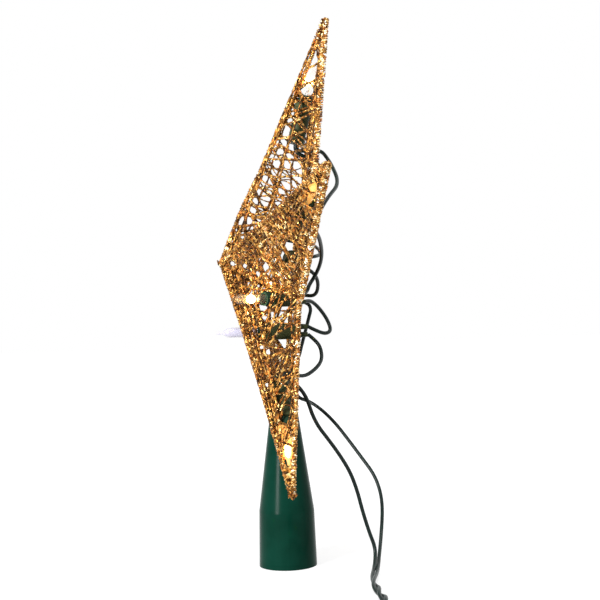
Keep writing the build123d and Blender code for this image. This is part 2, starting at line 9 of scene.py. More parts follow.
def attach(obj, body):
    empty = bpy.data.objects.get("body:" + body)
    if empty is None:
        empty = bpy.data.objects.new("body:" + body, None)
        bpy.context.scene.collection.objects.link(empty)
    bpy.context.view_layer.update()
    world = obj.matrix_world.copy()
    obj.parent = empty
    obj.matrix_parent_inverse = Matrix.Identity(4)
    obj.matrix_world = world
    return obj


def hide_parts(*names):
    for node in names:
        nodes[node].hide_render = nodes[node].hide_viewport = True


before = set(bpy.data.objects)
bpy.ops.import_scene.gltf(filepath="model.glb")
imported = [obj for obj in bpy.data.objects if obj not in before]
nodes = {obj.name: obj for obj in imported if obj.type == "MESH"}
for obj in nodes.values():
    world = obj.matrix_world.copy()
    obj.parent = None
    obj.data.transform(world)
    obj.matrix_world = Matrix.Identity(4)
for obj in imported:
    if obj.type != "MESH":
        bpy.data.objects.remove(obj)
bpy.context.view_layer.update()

# %% [markdown]
# # A lighted star for the top of a tree
# The real thing is a wire frame wound with gold thread and glitter, with a string of small lamps
# inside and a green cone below it that goes over the tree's leader. The construction model is
# already in the scene, in metres, with each node on its own body. This lesson dresses it: first
# the camera and the wires, then the finishes, then the thousands of strands and grains that make
# the star glitter.

# %% The frame that everything is fitted to
MM = 0.001
ROOT = "topper"

# %% [markdown]
# ## The camera
# The picture looks along the star's side, level with its lower half, from a little over half a
# metre. The azimuth, the distance and the slight roll were fitted to the star's points, so the
# camera is set from those values rather than aimed by eye.

# %% Camera at the picture's viewpoint
photo_azimuth = math.radians(87.10)
photo_roll = math.radians(1.69)
eye_distance = 614 * MM
eye_aside = 9.91 * MM
eye_height = 134.9 * MM
focal_pixels = 1201.6
picture_pixels = 600
sensor_millimetres = 36

picture_right = Vector((math.cos(photo_azimuth), math.sin(photo_azimuth), 0))
picture_back = Vector((math.sin(photo_azimuth), -math.cos(photo_azimuth), 0))
world_up = Vector((0, 0, 1))
camera_data = bpy.data.cameras.new("photo_camera")
camera_data.sensor_width = sensor_millimetres
camera_data.lens = sensor_millimetres * focal_pixels / picture_pixels
camera_data.clip_start = 10 * MM
camera = bpy.data.objects.new("photo_camera", camera_data)
camera_x = picture_right * math.cos(photo_roll) - world_up * math.sin(photo_roll)
camera_y = picture_right * math.sin(photo_roll) + world_up * math.cos(photo_roll)
eye = picture_right * eye_aside + picture_back * eye_distance + world_up * eye_height
turn = Matrix((camera_x, camera_y, picture_back)).transposed()
camera.matrix_world = Matrix.Translation(eye) @ turn.to_4x4()
bpy.context.scene.collection.objects.link(camera)
bpy.context.scene.camera = camera
bpy.context.scene.view_settings.view_transform = "Standard"
print("camera at", [round(v, 3) for v in eye], "lens", round(camera_data.lens, 1))

# %% [markdown]
# ## Meshes made from lists
# Thread, glitter and filaments are all simple shapes in great number. A small builder that
# collects points and faces, and then makes one mesh of them, is quicker and easier to read than an
# operator for each piece.


# %% A builder for meshes
class Maker:
    """Collects points and faces, and makes one object of them."""

    def __init__(self):
        self.points = []
        self.faces = []

    def ring(self, centre, side, over, radius, count):
        """A ring of points about a centre. Returns their numbers."""
        first = len(self.points)
        for step in range(count):
            angle = 2 * math.pi * step / count
            self.points.append(centre + (side * math.cos(angle) + over * math.sin(angle)) * radius)
        return list(range(first, first + count))

    def close(self, rings):
        """Faces from ring to ring, and one over each end."""
        for lower, upper in pairwise(rings):
            count = len(lower)
            for step in range(count):
                after = (step + 1) % count
                self.faces.append((lower[step], lower[after], upper[after], upper[step]))
        self.faces.append(tuple(reversed(rings[0])))
        self.faces.append(tuple(rings[-1]))

    def tube(self, path, radii, count):
        """A closed tube along some points, with a radius at each."""
        rings = []
        side = None
        for here, centre in enumerate(path):
            way = (path[min(here + 1, len(path) - 1)] - path[max(here - 1, 0)]).normalized()
            if side is None:
                side = way.orthogonal().normalized()
            side = (side - way * side.dot(way)).normalized()
            rings.append(self.ring(centre, side, way.cross(side), radii[here], count))
        self.close(rings)

    def turned(self, origin, axis, profile, count):
        """A closed turned shape, by a profile of (distance along, radius) in millimetres."""
        side = axis.orthogonal().normalized()
        over = axis.cross(side)
        rings = []
        for along, radius in profile:
            centre = origin + axis * (along * MM)
            rings.append(self.ring(centre, side, over, radius * MM, count))
        self.close(rings)

    def grain(self, centre, normal, size, spin):
        """A flat little pyramid, as one grain of glitter."""
        side = normal.orthogonal().normalized()
        side = Matrix.Rotation(spin, 3, normal) @ side
        one, two, three = self.ring(centre, side, normal.cross(side), size, 3)
        peak = len(self.points)
        self.points.append(centre - normal * (size / 2))
        self.faces += [(one, two, three), (two, one, peak), (three, two, peak), (one, three, peak)]

    def piece(self, name, body, finish, slot, smooth=True):
        """The finished object, riding on a body."""
        mesh = bpy.data.meshes.new(name)
        mesh.from_pydata([tuple(point) for point in self.points], [], self.faces)
        mesh.polygons.foreach_set("use_smooth", [smooth] * len(mesh.polygons))
        mesh.update()
        piece = bpy.data.objects.new(name, mesh)
        bpy.context.scene.collection.objects.link(piece)
        mesh.materials.append(finish)
        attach(piece, body)
        return piece


print("mesh builder ready")

# %% [markdown]
# ## Finishes
# A finish is a material with one main shader. Numbers that change over the surface are written as
# Python sums: the class below wraps a socket, and each sum adds the Math node that it needs.


# %% Shader sums and finishes
class Varying:
    """A number or colour that changes over a surface."""

    def __init__(self, finish, socket):
        self.finish = finish
        self.socket = socket

    def __add__(self, other):
        return self.finish.add("ShaderNodeMath", {0: self, 1: other}, operation="ADD")

    __radd__ = __add__

    def __mul__(self, other):
        return self.finish.add("ShaderNodeMath", {0: self, 1: other}, operation="MULTIPLY")


class Finish:
    """A material with one main shader, and one way to add any other node."""

    def __init__(self, name, sockets):
        self.material = bpy.data.materials.new(name)
        self.material.use_nodes = True
        self.tree = self.material.node_tree
        self.shader = self.tree.nodes["Principled BSDF"]
        self.paint(sockets)

    def feed(self, socket, value):
        """Links a varying value to a socket, or sets a fixed one."""
        if isinstance(value, Varying):
            self.tree.links.new(value.socket, socket)
        else:
            socket.default_value = value

    def paint(self, sockets):
        """Sets or links sockets of the main shader."""
        for name, value in sockets.items():
            self.feed(self.shader.inputs[name], value)

    def add(self, kind, sockets, output=0, **settings):
        """Any other node, with its settings and the values or links of its sockets."""
        node = self.tree.nodes.new(kind)
        for name, value in settings.items():
            setattr(node, name, value)
        for name, value in sockets.items():
            self.feed(node.inputs[name], value)
        return Varying(self, node.outputs[output])

    def vector(self, operation, sockets, output=0):
        """A sum of vectors."""
        return self.add("ShaderNodeVectorMath", sockets, output, operation=operation)

    def place(self):
        """Where a point is on the object."""
        return self.add("ShaderNodeTexCoord", {}, "Object")

    def noise(self, scale, detail=3.0):
        """Soft cloudy noise from 0 to 1."""
        sockets = {"Vector": self.place(), "Scale": scale, "Detail": detail}
        return self.add("ShaderNodeTexNoise", sockets)

    def cells(self, scale):
        """A random colour for each small cell of the surface."""
        sockets = {"Vector": self.place(), "Scale": scale}
        return self.add("ShaderNodeTexVoronoi", sockets, "Color")

    def part(self, colour, channel):
        """One channel of a colour, as a number."""
        return self.add("ShaderNodeSeparateColor", {"Color": colour}, channel)

    def ramp(self, value, stops):
        """A colour from a number, by stops of (place, colour)."""
        ramp = self.add("ShaderNodeValToRGB", {"Fac": value})
        elements = ramp.socket.node.color_ramp.elements
        while len(elements) < len(stops):
            elements.new(1)
        for element, (place, colour) in zip(elements, stops):
            element.position = place
            element.color = (*colour, 1)
        return ramp

    def bump(self, height, distance, strength):
        """A normal from a height."""
        sockets = {"Height": height, "Distance": distance, "Strength": strength}
        return self.add("ShaderNodeBump", sockets)


MIDDLE = (0.5, 0.5, 0.5)


def tilted_normals(finish, colour, amount):
    """The surface normal, pushed a random way in each cell, as flakes that lie at odd angles."""
    push = finish.vector("SUBTRACT", {0: colour, 1: MIDDLE})
    push = finish.vector("SCALE", {0: push, "Scale": amount})
    normal = finish.add("ShaderNodeNewGeometry", {}, "Normal")
    return finish.vector("NORMALIZE", {0: finish.vector("ADD", {0: normal, 1: push})})


print("shader sums ready")

# %% [markdown]
# ## Gold thread and glitter
# Up close the star is a mosaic: some flakes mirror the light, some are bright gold, some are
# brown. A single gold with one roughness looks like plastic. Random cells give each flake its own
# colour, from orange to olive, and its own gloss and tilt. Slow patches make one stretch of thread
# browner than the next. The colour ramp also paints light: its pale cream end is a painted sparkle
# highlight and its darkest browns are painted shade. So part of the contrast is painted into the
# finish and doesn't hang on one set of lamps.

# %% Gold finishes
# The pale cream stops paint sparkle highlights and the darkest stops paint shade, on top of the
# flakes' own tones.
GOLD_SHADE_AND_SPARKLE_STOPS = [
    (0.0, (0.042, 0.014, 0.0015)),
    (0.25, (0.135, 0.050, 0.006)),
    (0.5, (0.33, 0.138, 0.017)),
    (0.72, (0.58, 0.28, 0.05)),
    (0.88, (0.88, 0.57, 0.19)),
    (1.0, (1.0, 0.90, 0.60)),
]
TINT_STOPS = [
    (0.0, (1.12, 0.70, 0.50)),
    (0.35, (1.0, 0.96, 0.9)),
    (0.65, (1.0, 1.04, 1.1)),
    (1.0, (0.88, 1.16, 2.0)),
]
FLAKE_PART = 0.8
PATCH_PART = 0.7
PATCH_SCALE = 95.0
SHADE_DROP = 0.27
SMOOTHEST = 0.2


def gold_finish(name, cell_scale, tilt, roughest, lift):
    """Gold with a random colour, gloss and tilt in each flake, in browner and brighter patches."""
    finish = Finish(name, {"Metallic": 0.7, "Specular IOR Level": 0.6})
    colour = finish.cells(cell_scale)
    patch = finish.noise(PATCH_SCALE, detail=2.0)
    shade = finish.part(colour, "Red") * FLAKE_PART + patch * PATCH_PART + (lift - SHADE_DROP)
    gloss = finish.part(colour, "Green")
    # This ramp paints sparkle highlights in its pale end and shade in its darkest browns.
    plain = finish.ramp(shade, GOLD_SHADE_AND_SPARKLE_STOPS)
    tint = finish.ramp(finish.part(colour, "Blue"), TINT_STOPS)
    finish.paint({
        "Base Color": finish.vector("MULTIPLY", {0: plain, 1: tint}),
        "Roughness": SMOOTHEST + gloss * roughest,
        "Normal": tilted_normals(finish, colour, tilt),
    })
    return finish.material


thread_gold = gold_finish("gold_thread", cell_scale=800.0, tilt=1.2, roughest=0.4, lift=-0.06)
grain_gold = gold_finish("gold_glitter", cell_scale=700.0, tilt=0.5, roughest=0.3, lift=0.05)
wire_gold = gold_finish("gold_frame_paint", cell_scale=1700.0, tilt=0.8, roughest=0.4, lift=-0.05)
# This paler gold, lifted by 0.2, is painted rim light for the thread along the star's edges.
rim_light_gold = gold_finish("gold_painted_rim_light", cell_scale=800.0, tilt=0.6, roughest=0.5, lift=0.2)
print("gold finishes", thread_gold.name, grain_gold.name, wire_gold.name, rim_light_gold.name)

# %% [markdown]
# ## The wires of the lamp string
# Nine lamps hang in series on eight short runs of green wire, and two longer runs go down to the
# lead. Each run is a smooth spline through the points that the construction model was routed by.
# On the real star they were pushed through the back by hand, so no run is straight and no two are
# alike.

# %% Wire finish
WEAR_SCALE = 420.0
wire_finish = Finish("wire_jacket", {"Specular IOR Level": 0.22})
wear = wire_finish.noise(WEAR_SCALE)
WIRE_STOPS = [
    (0.3, (0.0015, 0.006, 0.005)),
    (0.6, (0.003, 0.013, 0.010)),
    (0.8, (0.006, 0.02, 0.016)),
]
WEAR_DEPTH = 0.1 * MM
JACKET_SMOOTH = 0.24
JACKET_UNEVEN = 0.2
wire_finish.paint({
    "Base Color": wire_finish.ramp(wear, WIRE_STOPS),
    "Roughness": JACKET_SMOOTH + wear * JACKET_UNEVEN,
    "Normal": wire_finish.bump(wear, WEAR_DEPTH, strength=0.4),
})
wire_jacket = wire_finish.material
print("wire finish", wire_jacket.name)

# %% [markdown]
# ## Where each run goes
# Each run has its length and its points in millimetres, from one holder to the next.

# %% Runs of single wire
WIRE_DIAMETER = 1.9 * MM
CURVE_STEPS = 8
CURVE_ROUNDNESS = 3
CURVE_ORDER = 3
STRING_ROUTES = {
    "string_wire_1": (54.5, [
        (13, 12.7, 117.6), (13, 14.7, 116), (14.5, 18.3, 112.1), (17, 19.2, 107.7),
        (20.8, 18.4, 103.9), (26, 14.7, 100.4), (31.5, 9.2, 97.6), (36.5, 3.6, 99.5),
        (39.7, -2.5, 100.5), (41.7, -2.4, 97.7)]),
    "string_wire_2": (36.9, [
        (13, 12.7, 121.6), (13, 16.3, 119.6), (12.2, 21.4, 117.5), (8.6, 24.7, 118.8),
        (7, 23.7, 123.3), (7.6, 21, 128), (9.6, 17.4, 132.4), (13.1, 13.8, 134.8),
        (16, 11.3, 134)]),
    "string_wire_3": (76.3, [
        (16, 11.3, 138), (13.1, 13, 139), (12.6, 14, 142.2), (14, 17.1, 146.7),
        (20.6, 19.3, 151.9), (29, 19.8, 156.5), (39, 18.8, 161), (48, 17.3, 164.3),
        (54.8, 15.3, 166.8), (58.5, 10.6, 167.5), (61, 4.9, 169), (64.2, 5.5, 170)]),
    "string_wire_4": (96.2, [
        (62.9, 5.9, 173.8), (59.7, 5.3, 172.8), (57.2, 11, 171.3), (53, 17, 175),
        (48.6, 20.7, 181), (44, 23.9, 185.1), (38, 27.2, 188.7), (30, 28.4, 193.3),
        (22, 27.5, 198.6), (13.6, 25.6, 204.6), (6, 22.5, 210.6), (2, 16, 210.4), (2, 9.2, 211.3),
        (2, 10, 214.6)]),
    "string_wire_5": (95.1, [
        (-2, 10, 214.6), (-2, 9.2, 211.3), (-2, 15.1, 208), (-4.4, 22.6, 204.6),
        (-9.4, 24.6, 197.6), (-17, 24.4, 190.4), (-26.6, 23.8, 184.4), (-37, 22.9, 179.2),
        (-46.4, 21, 174.8), (-53, 17, 172.3), (-57.2, 11, 171.3), (-59.7, 5.3, 172.8),
        (-62.9, 5.9, 173.8)]),
    "string_wire_6": (100.0, [
        (-64.2, 5.5, 170), (-61, 4.9, 169), (-58.5, 10.6, 167.5), (-54, 17.4, 166.2),
        (-46, 20.8, 164.6), (-35, 22, 162.6), (-23, 22.2, 160.9), (-11, 21.8, 159.2),
        (-1, 21, 157.8), (6.4, 18.4, 156.8), (9.2, 12.2, 155.9), (6, 7.4, 155.1),
        (1.5, 6.9, 155.4), (-2.7, 7, 155.9)]),
    "string_wire_7": (45.9, [
        (-3.2, 6.5, 152), (0.9, 6.5, 151.4), (4.6, 10.2, 150.6), (6.2, 14.6, 150.2),
        (3.4, 18, 147.4), (-2, 19.8, 142.8), (-8, 18.8, 137.2), (-13.1, 14.4, 136.8),
        (-16, 11.3, 138)]),
    "string_wire_8": (64.4, [
        (-16, 11.3, 134), (-13.1, 14.6, 133.4), (-12, 16.2, 130.2), (-13, 15, 125.9),
        (-15.8, 13.7, 120.6), (-19.6, 12.2, 114.8), (-24.4, 11, 109.4), (-30, 10.2, 104.9),
        (-34.8, 8.6, 101.9), (-38.1, 3.3, 102), (-39.7, -2.5, 100.5), (-41.7, -2.4, 97.7)]),
    "lead_wire_a": (128.6, [
        (38.4, -2.7, 95.4), (36.4, -2.8, 98.2), (34.9, 1.5, 97.2), (33.8, 5.8, 93.6),
        (32.5, 9.1, 89.3), (31.4, 11, 84.8), (30.2, 12.7, 79), (28.8, 15.7, 72.8),
        (27, 19.5, 67.6), (25, 25.3, 59.3), (23, 31, 49.6), (21.4, 34.5, 39.5),
        (20.2, 36.8, 29.5), (18.8, 40, 18.6), (18.5, 42.6, 11.4), (20.2, 42.6, 6.6),
        (25, 41.4, 2.6), (31, 40.2, 2.1)]),
    "lead_wire_b": (149.1, [
        (-38.4, -2.7, 95.4), (-36.4, -2.8, 98.2), (-34.9, 3, 99.6), (-34.4, 6.2, 94),
        (-34.2, 7, 86.5), (-33.2, 9.4, 82), (-31, 14.6, 80.6), (-27.6, 21.2, 76), (-24, 28, 69),
        (-20, 34.7, 59.8), (-16, 41.4, 50.2), (-12, 46.6, 42.7), (-8, 49.3, 34.3),
        (-3, 49.5, 26.1), (3, 48, 16.8), (9.5, 46.4, 10.2), (16, 44.9, 5.6), (24, 43.4, 2.4),
        (31, 42.2, 2.1)]),
}


def spline_object(name, route, radius):
    """A smooth curve with the route's points as its control points, in metres."""
    curve = bpy.data.curves.new(name, "CURVE")
    curve.dimensions = "3D"
    curve.resolution_u = CURVE_STEPS
    curve.bevel_depth = radius
    curve.bevel_resolution = CURVE_ROUNDNESS
    curve.use_fill_caps = True
    spline = curve.splines.new("NURBS")
    spline.points.add(len(route) - 1)
    for point, place in zip(spline.points, route):
        point.co = (*(Vector(place) * MM), 1)
    spline.order_u = CURVE_ORDER
    spline.use_endpoint_u = True
    piece = bpy.data.objects.new(name, curve)
    bpy.context.scene.collection.objects.link(piece)
    return piece


for node, (length, route) in STRING_ROUTES.items():
    run = spline_object(node + "_run", route, WIRE_DIAMETER / 2)
    run.data.materials.append(wire_jacket)
    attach(run, ROOT)
    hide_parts(node)
print("single wires", len(STRING_ROUTES))

# %% [markdown]
# ## The twisted lead
# Where the two wires meet they are twisted together, and the slack is coiled and held by a tie, as
# it comes out of the box. The pair is two strands that wind round one smooth spline, loosely at
# first. The coil's turns are worked out in a loop, as half-circles that bulge to one side and then
# to the other.

# %% Route of the lead
COIL_X = 146
COIL_LOW = 3.2
COIL_HIGH = 7.7
HALF_TURN_POINTS = 8
half_turn_ends = [
    (45.4, COIL_LOW), (-1.2, COIL_LOW), (40.9, COIL_LOW), (3.3, COIL_LOW),
    (36.4, COIL_HIGH), (1.05, COIL_HIGH), (43.15, COIL_HIGH),
]
lead_route = [
    (31.1, 41.2, 2.1), (42, 39.2, 2.1), (57, 37.6, 2.1), (74, 38, 2.1), (91, 39.2, 2.1),
    (107, 41.2, 2.3), (121, 43.6, 2.8), (134, 45.4, COIL_LOW),
]
bulge = 1
for (y_from, z_from), (y_to, z_to) in pairwise(half_turn_ends):
    for step in range(HALF_TURN_POINTS):
        angle = math.pi * step / HALF_TURN_POINTS
        part = (1 - math.cos(angle)) / 2
        out = bulge * abs(y_to - y_from) / 2 * math.sin(angle)
        y = y_from + (y_to - y_from) * part
        lead_route.append((COIL_X + out, y, z_from + (z_to - z_from) * part))
    bulge = -bulge
lead_route += [
    (COIL_X, 43.15, COIL_HIGH), (158.1, 43.15, COIL_HIGH), (168, 42, 7.4), (177, 38.4, 7),
    (182.6, 32, 6.6), (184, 26.1, 6.5), (184, 22.1, 6.5),
]
guide = spline_object("lead_guide", lead_route, 0)
bpy.context.view_layer.update()
graph = bpy.context.evaluated_depsgraph_get()
guide_mesh = bpy.data.meshes.new_from_object(guide.evaluated_get(graph))
lead_line = [vertex.co.copy() for vertex in guide_mesh.vertices]
bpy.data.objects.remove(guide)
lead_length = sum((after - before).length for before, after in pairwise(lead_line))
print("lead points", len(lead_line), "length", round(lead_length, 4))

# %% [markdown]
# ## Two wires round one line
# The two wires lie on opposite sides of the route, and the pair turns as it goes along. The twist
# builds up over the first stretch, because the wires part there.

# %% Two wires round the route
STRAND_OFFSET = 1.0 * MM
TWIST_LENGTH = 20 * MM
TWIST_BUILDS = 80 * MM
PAIR_SIDES = 8
pair = Maker()
for strand in (0, 1):
    path = []
    gone = 0
    for here, place in enumerate(lead_line):
        before = lead_line[max(here - 1, 0)]
        way = (lead_line[min(here + 1, len(lead_line) - 1)] - before).normalized()
        gone += (place - before).length
        level = world_up.cross(way).normalized()
        over = way.cross(level)
        twisted = gone * gone / (gone + TWIST_BUILDS)
        angle = 2 * math.pi * twisted / TWIST_LENGTH + math.pi * strand
        path.append(place + (level * math.cos(angle) + over * math.sin(angle)) * STRAND_OFFSET)
    pair.tube(path, [WIRE_DIAMETER / 2] * len(path), PAIR_SIDES)
twisted_pair = pair.piece("twisted_pair", ROOT, wire_jacket, "wire_jacket")
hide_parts("twisted_lead", "lead_coil", "lead_tail")
print("pair faces", len(pair.faces))

# %% [markdown]
# ## The star's corners
# Each arm has a tip and two inner corners in the back plane, and every arm's ridge runs to one
# apex in front. All thread is strung between these wires, so the corners are worked out once. The
# two lower side corners sit a little further forward, where the thread has pulled the wire in, and
# the ridges of the top arm and the two lower arms are bent a little out and in.

# %% Corners
STAR_CENTRE = Vector((0, 11.9, 150.4)) * MM
STAR_RADIUS = 131 * MM
INNER_RADIUS = 50 * MM
APEX_DEPTH = 42 * MM
HALF_ARM = 36
PULLED_CORNERS = (-18, 198)
PULLED_IN = 3.0 * MM
TIP_BACK = 0.8 * MM
star_lean = math.radians(6.35)
star_side = Vector((1, 0, 0))
star_up = Vector((0, math.sin(star_lean), math.cos(star_lean)))
star_front = Vector((0, -math.cos(star_lean), math.sin(star_lean)))
ARMS = {"top": 90, "right_upper": 18, "right_lower": -54, "left_lower": 234, "left_upper": 162}


def on_star(degrees, radius):
    """A point in the star's back plane."""
    angle = math.radians(degrees)
    return STAR_CENTRE + (star_side * math.cos(angle) + star_up * math.sin(angle)) * radius


def inner_corner(degrees):
    """An inner corner, with the pull of the thread at the two lower side corners."""
    pull = PULLED_IN if degrees in PULLED_CORNERS else 0
    return on_star(degrees, INNER_RADIUS) + star_front * pull


apex = STAR_CENTRE + star_front * APEX_DEPTH
tips = {arm: on_star(degrees, STAR_RADIUS) for arm, degrees in ARMS.items()}
tips["top"] -= star_front * TIP_BACK
corners = {}
for arm, degrees in ARMS.items():
    corners[arm] = [inner_corner(degrees - HALF_ARM), inner_corner(degrees + HALF_ARM)]
TOP_BOW = (0, -1.5, -1.9, -2.2, -1.7, -1.2, -0.8, 0.2, 0.7, 0.5, 0)
LOW_BOW = (0, -0.4, -0.7, -1.0, -1.1, -1.2, -1.1, -1.0, -0.7, -0.4, 0)
NO_BOW = (0,) * len(TOP_BOW)
RIDGE_BOWS = {"top": TOP_BOW, "right_lower": LOW_BOW, "left_lower": LOW_BOW}
ridges = {}
for arm in ARMS:
    bows = RIDGE_BOWS.get(arm, NO_BOW)
    along = (apex - tips[arm]).normalized()
    out = (star_front - along * star_front.dot(along)).normalized()
    ridges[arm] = []
    for step, bow in enumerate(bows):
        part = step / (len(bows) - 1)
        ridges[arm].append(tips[arm].lerp(apex, part) + out * (bow * MM))
print("apex", [round(v, 4) for v in apex])

# %% [markdown]
# ## The lamps' places
# Each lamp is given by the mouth of its holder and the way it points. The thread has to leave room
# for the holders and the wires, so these places come before the winding.

# %% Lamp places
LAMPS = {
    "top": ((0, 15.07, 235.01), (0, 0.2409, 0.9705)),
    "right_upper": ((83.4, 9.16, 177.97), (0.9427, 0.1652, 0.2898)),
    "right_lower": ((52.3, -1.63, 79.47), (0.5826, 0.0426, -0.8116)),
    "left_lower": ((-52.3, -1.63, 79.47), (-0.5826, 0.0426, -0.8116)),
    "left_upper": ((-83.4, 9.16, 177.97), (-0.9427, 0.1652, 0.2898)),
    "front_low": ((13, -8.33, 119.59), (0, -1, 0)),
    "front_right": ((28.05, -5.91, 135.99), (0.5736, -0.8192, 0)),
    "front_left": ((-28.05, -5.91, 135.99), (-0.5736, -0.8192, 0)),
    "centre": ((-23.8, 7.09, 156.89), (-0.9903, 0.0154, 0.1383)),
}
MOVING = {lamp: "lamp_" + lamp for lamp in ("front_low", "front_right", "front_left")}
HOLDER_LENGTH = 21 * MM
LAMP_REACH = 25 * MM
HOLDER_CLEAR = 4.3 * MM
MOVING_CLEAR = 3.6 * MM
LAMP_CLEAR = 2.6 * MM
PARALLEL = 1e-18
lamp_places = {
    lamp: (Vector(place) * MM, Vector(way).normalized()) for lamp, (place, way) in LAMPS.items()
}


def segment_gap(a, b, c, d):
    """The shortest distance between two segments."""
    first = b - a
    second = d - c
    between = a - c
    aa = first.dot(first)
    bb = second.dot(second)
    ab = first.dot(second)
    fa = first.dot(between)
    fb = second.dot(between)
    wide = aa * bb - ab * ab
    s = 0.5 if wide < PARALLEL else min(max((ab * fb - bb * fa) / wide, 0), 1)
    t = min(max((ab * s + fb) / bb, 0), 1)
    s = min(max((ab * t - fa) / aa, 0), 1)
    return (a + first * s - c - second * t).length


keep_clear = []
for lamp, (place, way) in lamp_places.items():
    keep_clear.append((place - way * HOLDER_LENGTH, place, HOLDER_CLEAR))
    lamp_clear = MOVING_CLEAR if lamp in MOVING else LAMP_CLEAR
    keep_clear.append((place, place + way * LAMP_REACH, lamp_clear))
for length, route in STRING_ROUTES.values():
    places = [Vector(place) * MM for place in route]
    for before, after in pairwise(places):
        keep_clear.append((before, after, WIRE_DIAMETER / 2))
print("lamps", len(lamp_places), "places kept clear", len(keep_clear))

# %% [markdown]
# ## The larger gaps in the thread
# Thread wound by hand leaves gaps. The larger ones in the picture go right through the star to the
# white behind it, and some others only open the near side and show a lamp or a holder. Each is a
# place in the picture with a radius, in pixels, and the near ones go as deep as a lamp. The
# camera's ray through the place is kept free of thread, so the gap is a real one from every side.

# %% Gaps in the thread
THROUGH_GAPS = {
    "tip_and_top_lamp": [(313.5, 61, 3), (310, 71, 2), (312, 76, 2), (307, 90, 5.5)],
    "top_arm_edge": [(287, 129, 3), (285, 134, 3)],
    "top_arm_rows": [
        (284, 142, 3), (292, 148, 3), (281, 152, 3.5), (302, 154, 3), (271, 156, 2.5),
        (288, 155, 2), (277, 166, 2), (287, 165, 3.5), (296, 166, 4),
    ],
    "between_arms": [(311, 168, 4.5), (309, 174, 2.5), (299, 180, 3.5)],
    "wide_gap": [(288, 186, 4), (282, 192, 2.5), (294, 184, 2.5)],
    "ridge": [
        (265, 178, 3), (268, 199, 2), (265, 204, 2), (255, 200, 2), (254, 211, 2.5),
        (250, 221, 2.5), (242, 219, 2.5),
    ],
    "middle": [(292, 247, 5), (288, 246, 3), (283, 256, 2.5)],
    "front": [(233, 264, 2), (245, 266, 2), (266, 267, 3), (258, 274, 2)],
    "low": [(264, 307, 4), (285, 307, 2.5), (264, 318, 2.5), (287, 321, 2)],
    "square_gap": [(279, 342, 5), (286, 342, 5)],
    "slits": [(262, 347, 1.5), (268, 352, 2), (267, 385, 1.5)],
}
NEAR_GAPS = {
    "lit_low": (288, 450, 5.5, "right_lower"), "lit_low_end": (288, 459, 4.5, "right_lower"),
    "lit_upper": (313, 188, 4.5, "right_upper"), "lit_right": (249, 296, 3.5, "front_right"),
    "holder_upper": (312, 203, 3.5, "right_upper"), "holder_top": (309, 119, 3, "top"),
    "holder_low": (287, 409, 4.5, "right_lower"), "holder_low_end": (285, 420, 4, "right_lower"),
    "wire_low": (283, 388, 2.5, "right_lower"),
}
PIXEL_AT_STAR = 0.511 * MM
GAP_MARGIN = 0.3 * MM
RAY_NEAR = 0.45
RAY_FAR = 0.78


def picture_ray(x, y):
    """The direction in which the camera sees a place in the picture."""
    half = picture_pixels / 2
    aside = camera_x * (x - half) + camera_y * (half - y)
    return (aside - picture_back * focal_pixels).normalized()


gap_rays = []
for x, y, radius in [gap for group in THROUGH_GAPS.values() for gap in group]:
    ray = picture_ray(x, y)
    reach = radius * PIXEL_AT_STAR + GAP_MARGIN
    gap_rays.append((eye + ray * RAY_NEAR, eye + ray * RAY_FAR, reach))
for x, y, radius, lamp in NEAR_GAPS.values():
    ray = picture_ray(x, y)
    deep = (lamp_places[lamp][0] - eye).length
    gap_rays.append((eye + ray * RAY_NEAR, eye + ray * deep, radius * PIXEL_AT_STAR))
print("gaps", len(gap_rays))

# %% [markdown]
# ## Winding the thread
# The maker lays some threads lengthwise, fanned out from each arm's tip, and winds others to and
# fro between the ridge and the edges. The strands here do the same, with small seeded errors of
# hand. First come the grains of glitter, which stick on any strand or wire at all angles.

# %% Grains
rng = random.Random(2412)
GRAIN_LOW = 0.24 * MM
GRAIN_HIGH = 0.56 * MM
GRAIN_LEAN = 0.8
GRAIN_SPIN = 6.3


def random_way():
    """A direction with no preference."""
    height = rng.uniform(-1, 1)
    angle = rng.uniform(0, 2 * math.pi)
    flat = math.sqrt(1 - height * height)
    return Vector((flat * math.cos(angle), flat * math.sin(angle), height))


def add_grains(maker, path, radius, spacing):
    """Grains stuck on a strand or wire, at all angles."""
    for start, end in pairwise(path):
        length = (end - start).length
        along = (end - start).normalized()
        wanted = length / spacing
        for number in range(int(wanted + rng.random())):
            out = random_way()
            out = (out - along * out.dot(along)).normalized()
            facing = (out + random_way() * GRAIN_LEAN).normalized()
            place = start + along * rng.uniform(0, length) + out * radius
            size = rng.uniform(GRAIN_LOW, GRAIN_HIGH)
            maker.grain(place, facing, size, rng.uniform(0, GRAIN_SPIN))


print("grains from", GRAIN_LOW, "to", GRAIN_HIGH, "metres")

# %% [markdown]
# ## How a strand gives way
# A strand that meets a gap is pulled aside within its facet, into two straight stretches, as
# thread is that hangs on its neighbour. So the gaps have straight sides, like a net's. One that
# meets a lamp or a wire runs over it. A strand that still touches something, or that would bow too
# far, is refused.

# %% Strands that give way
BEND_ROUNDS = 4
LOOK_ROUND = 5 * MM
FLAT_GAIN = 0.3
TENT_STEPS = 5
SPARE = 1.15
HARD_KEPT = 0.95
GAP_KEPT = 0.85
GAP_SLACK = (0.62, 1.0)
BOW_LEAST = 1.2 * MM
BOW_SHARE = 0.12
BOW_MOST = 2.2 * MM


def off_line(place, before, after):
    """The way from the nearest place on a segment to a point."""
    line = after - before
    part = min(max((place - before).dot(line) / line.dot(line), 0), 1)
    return place - before - line * part


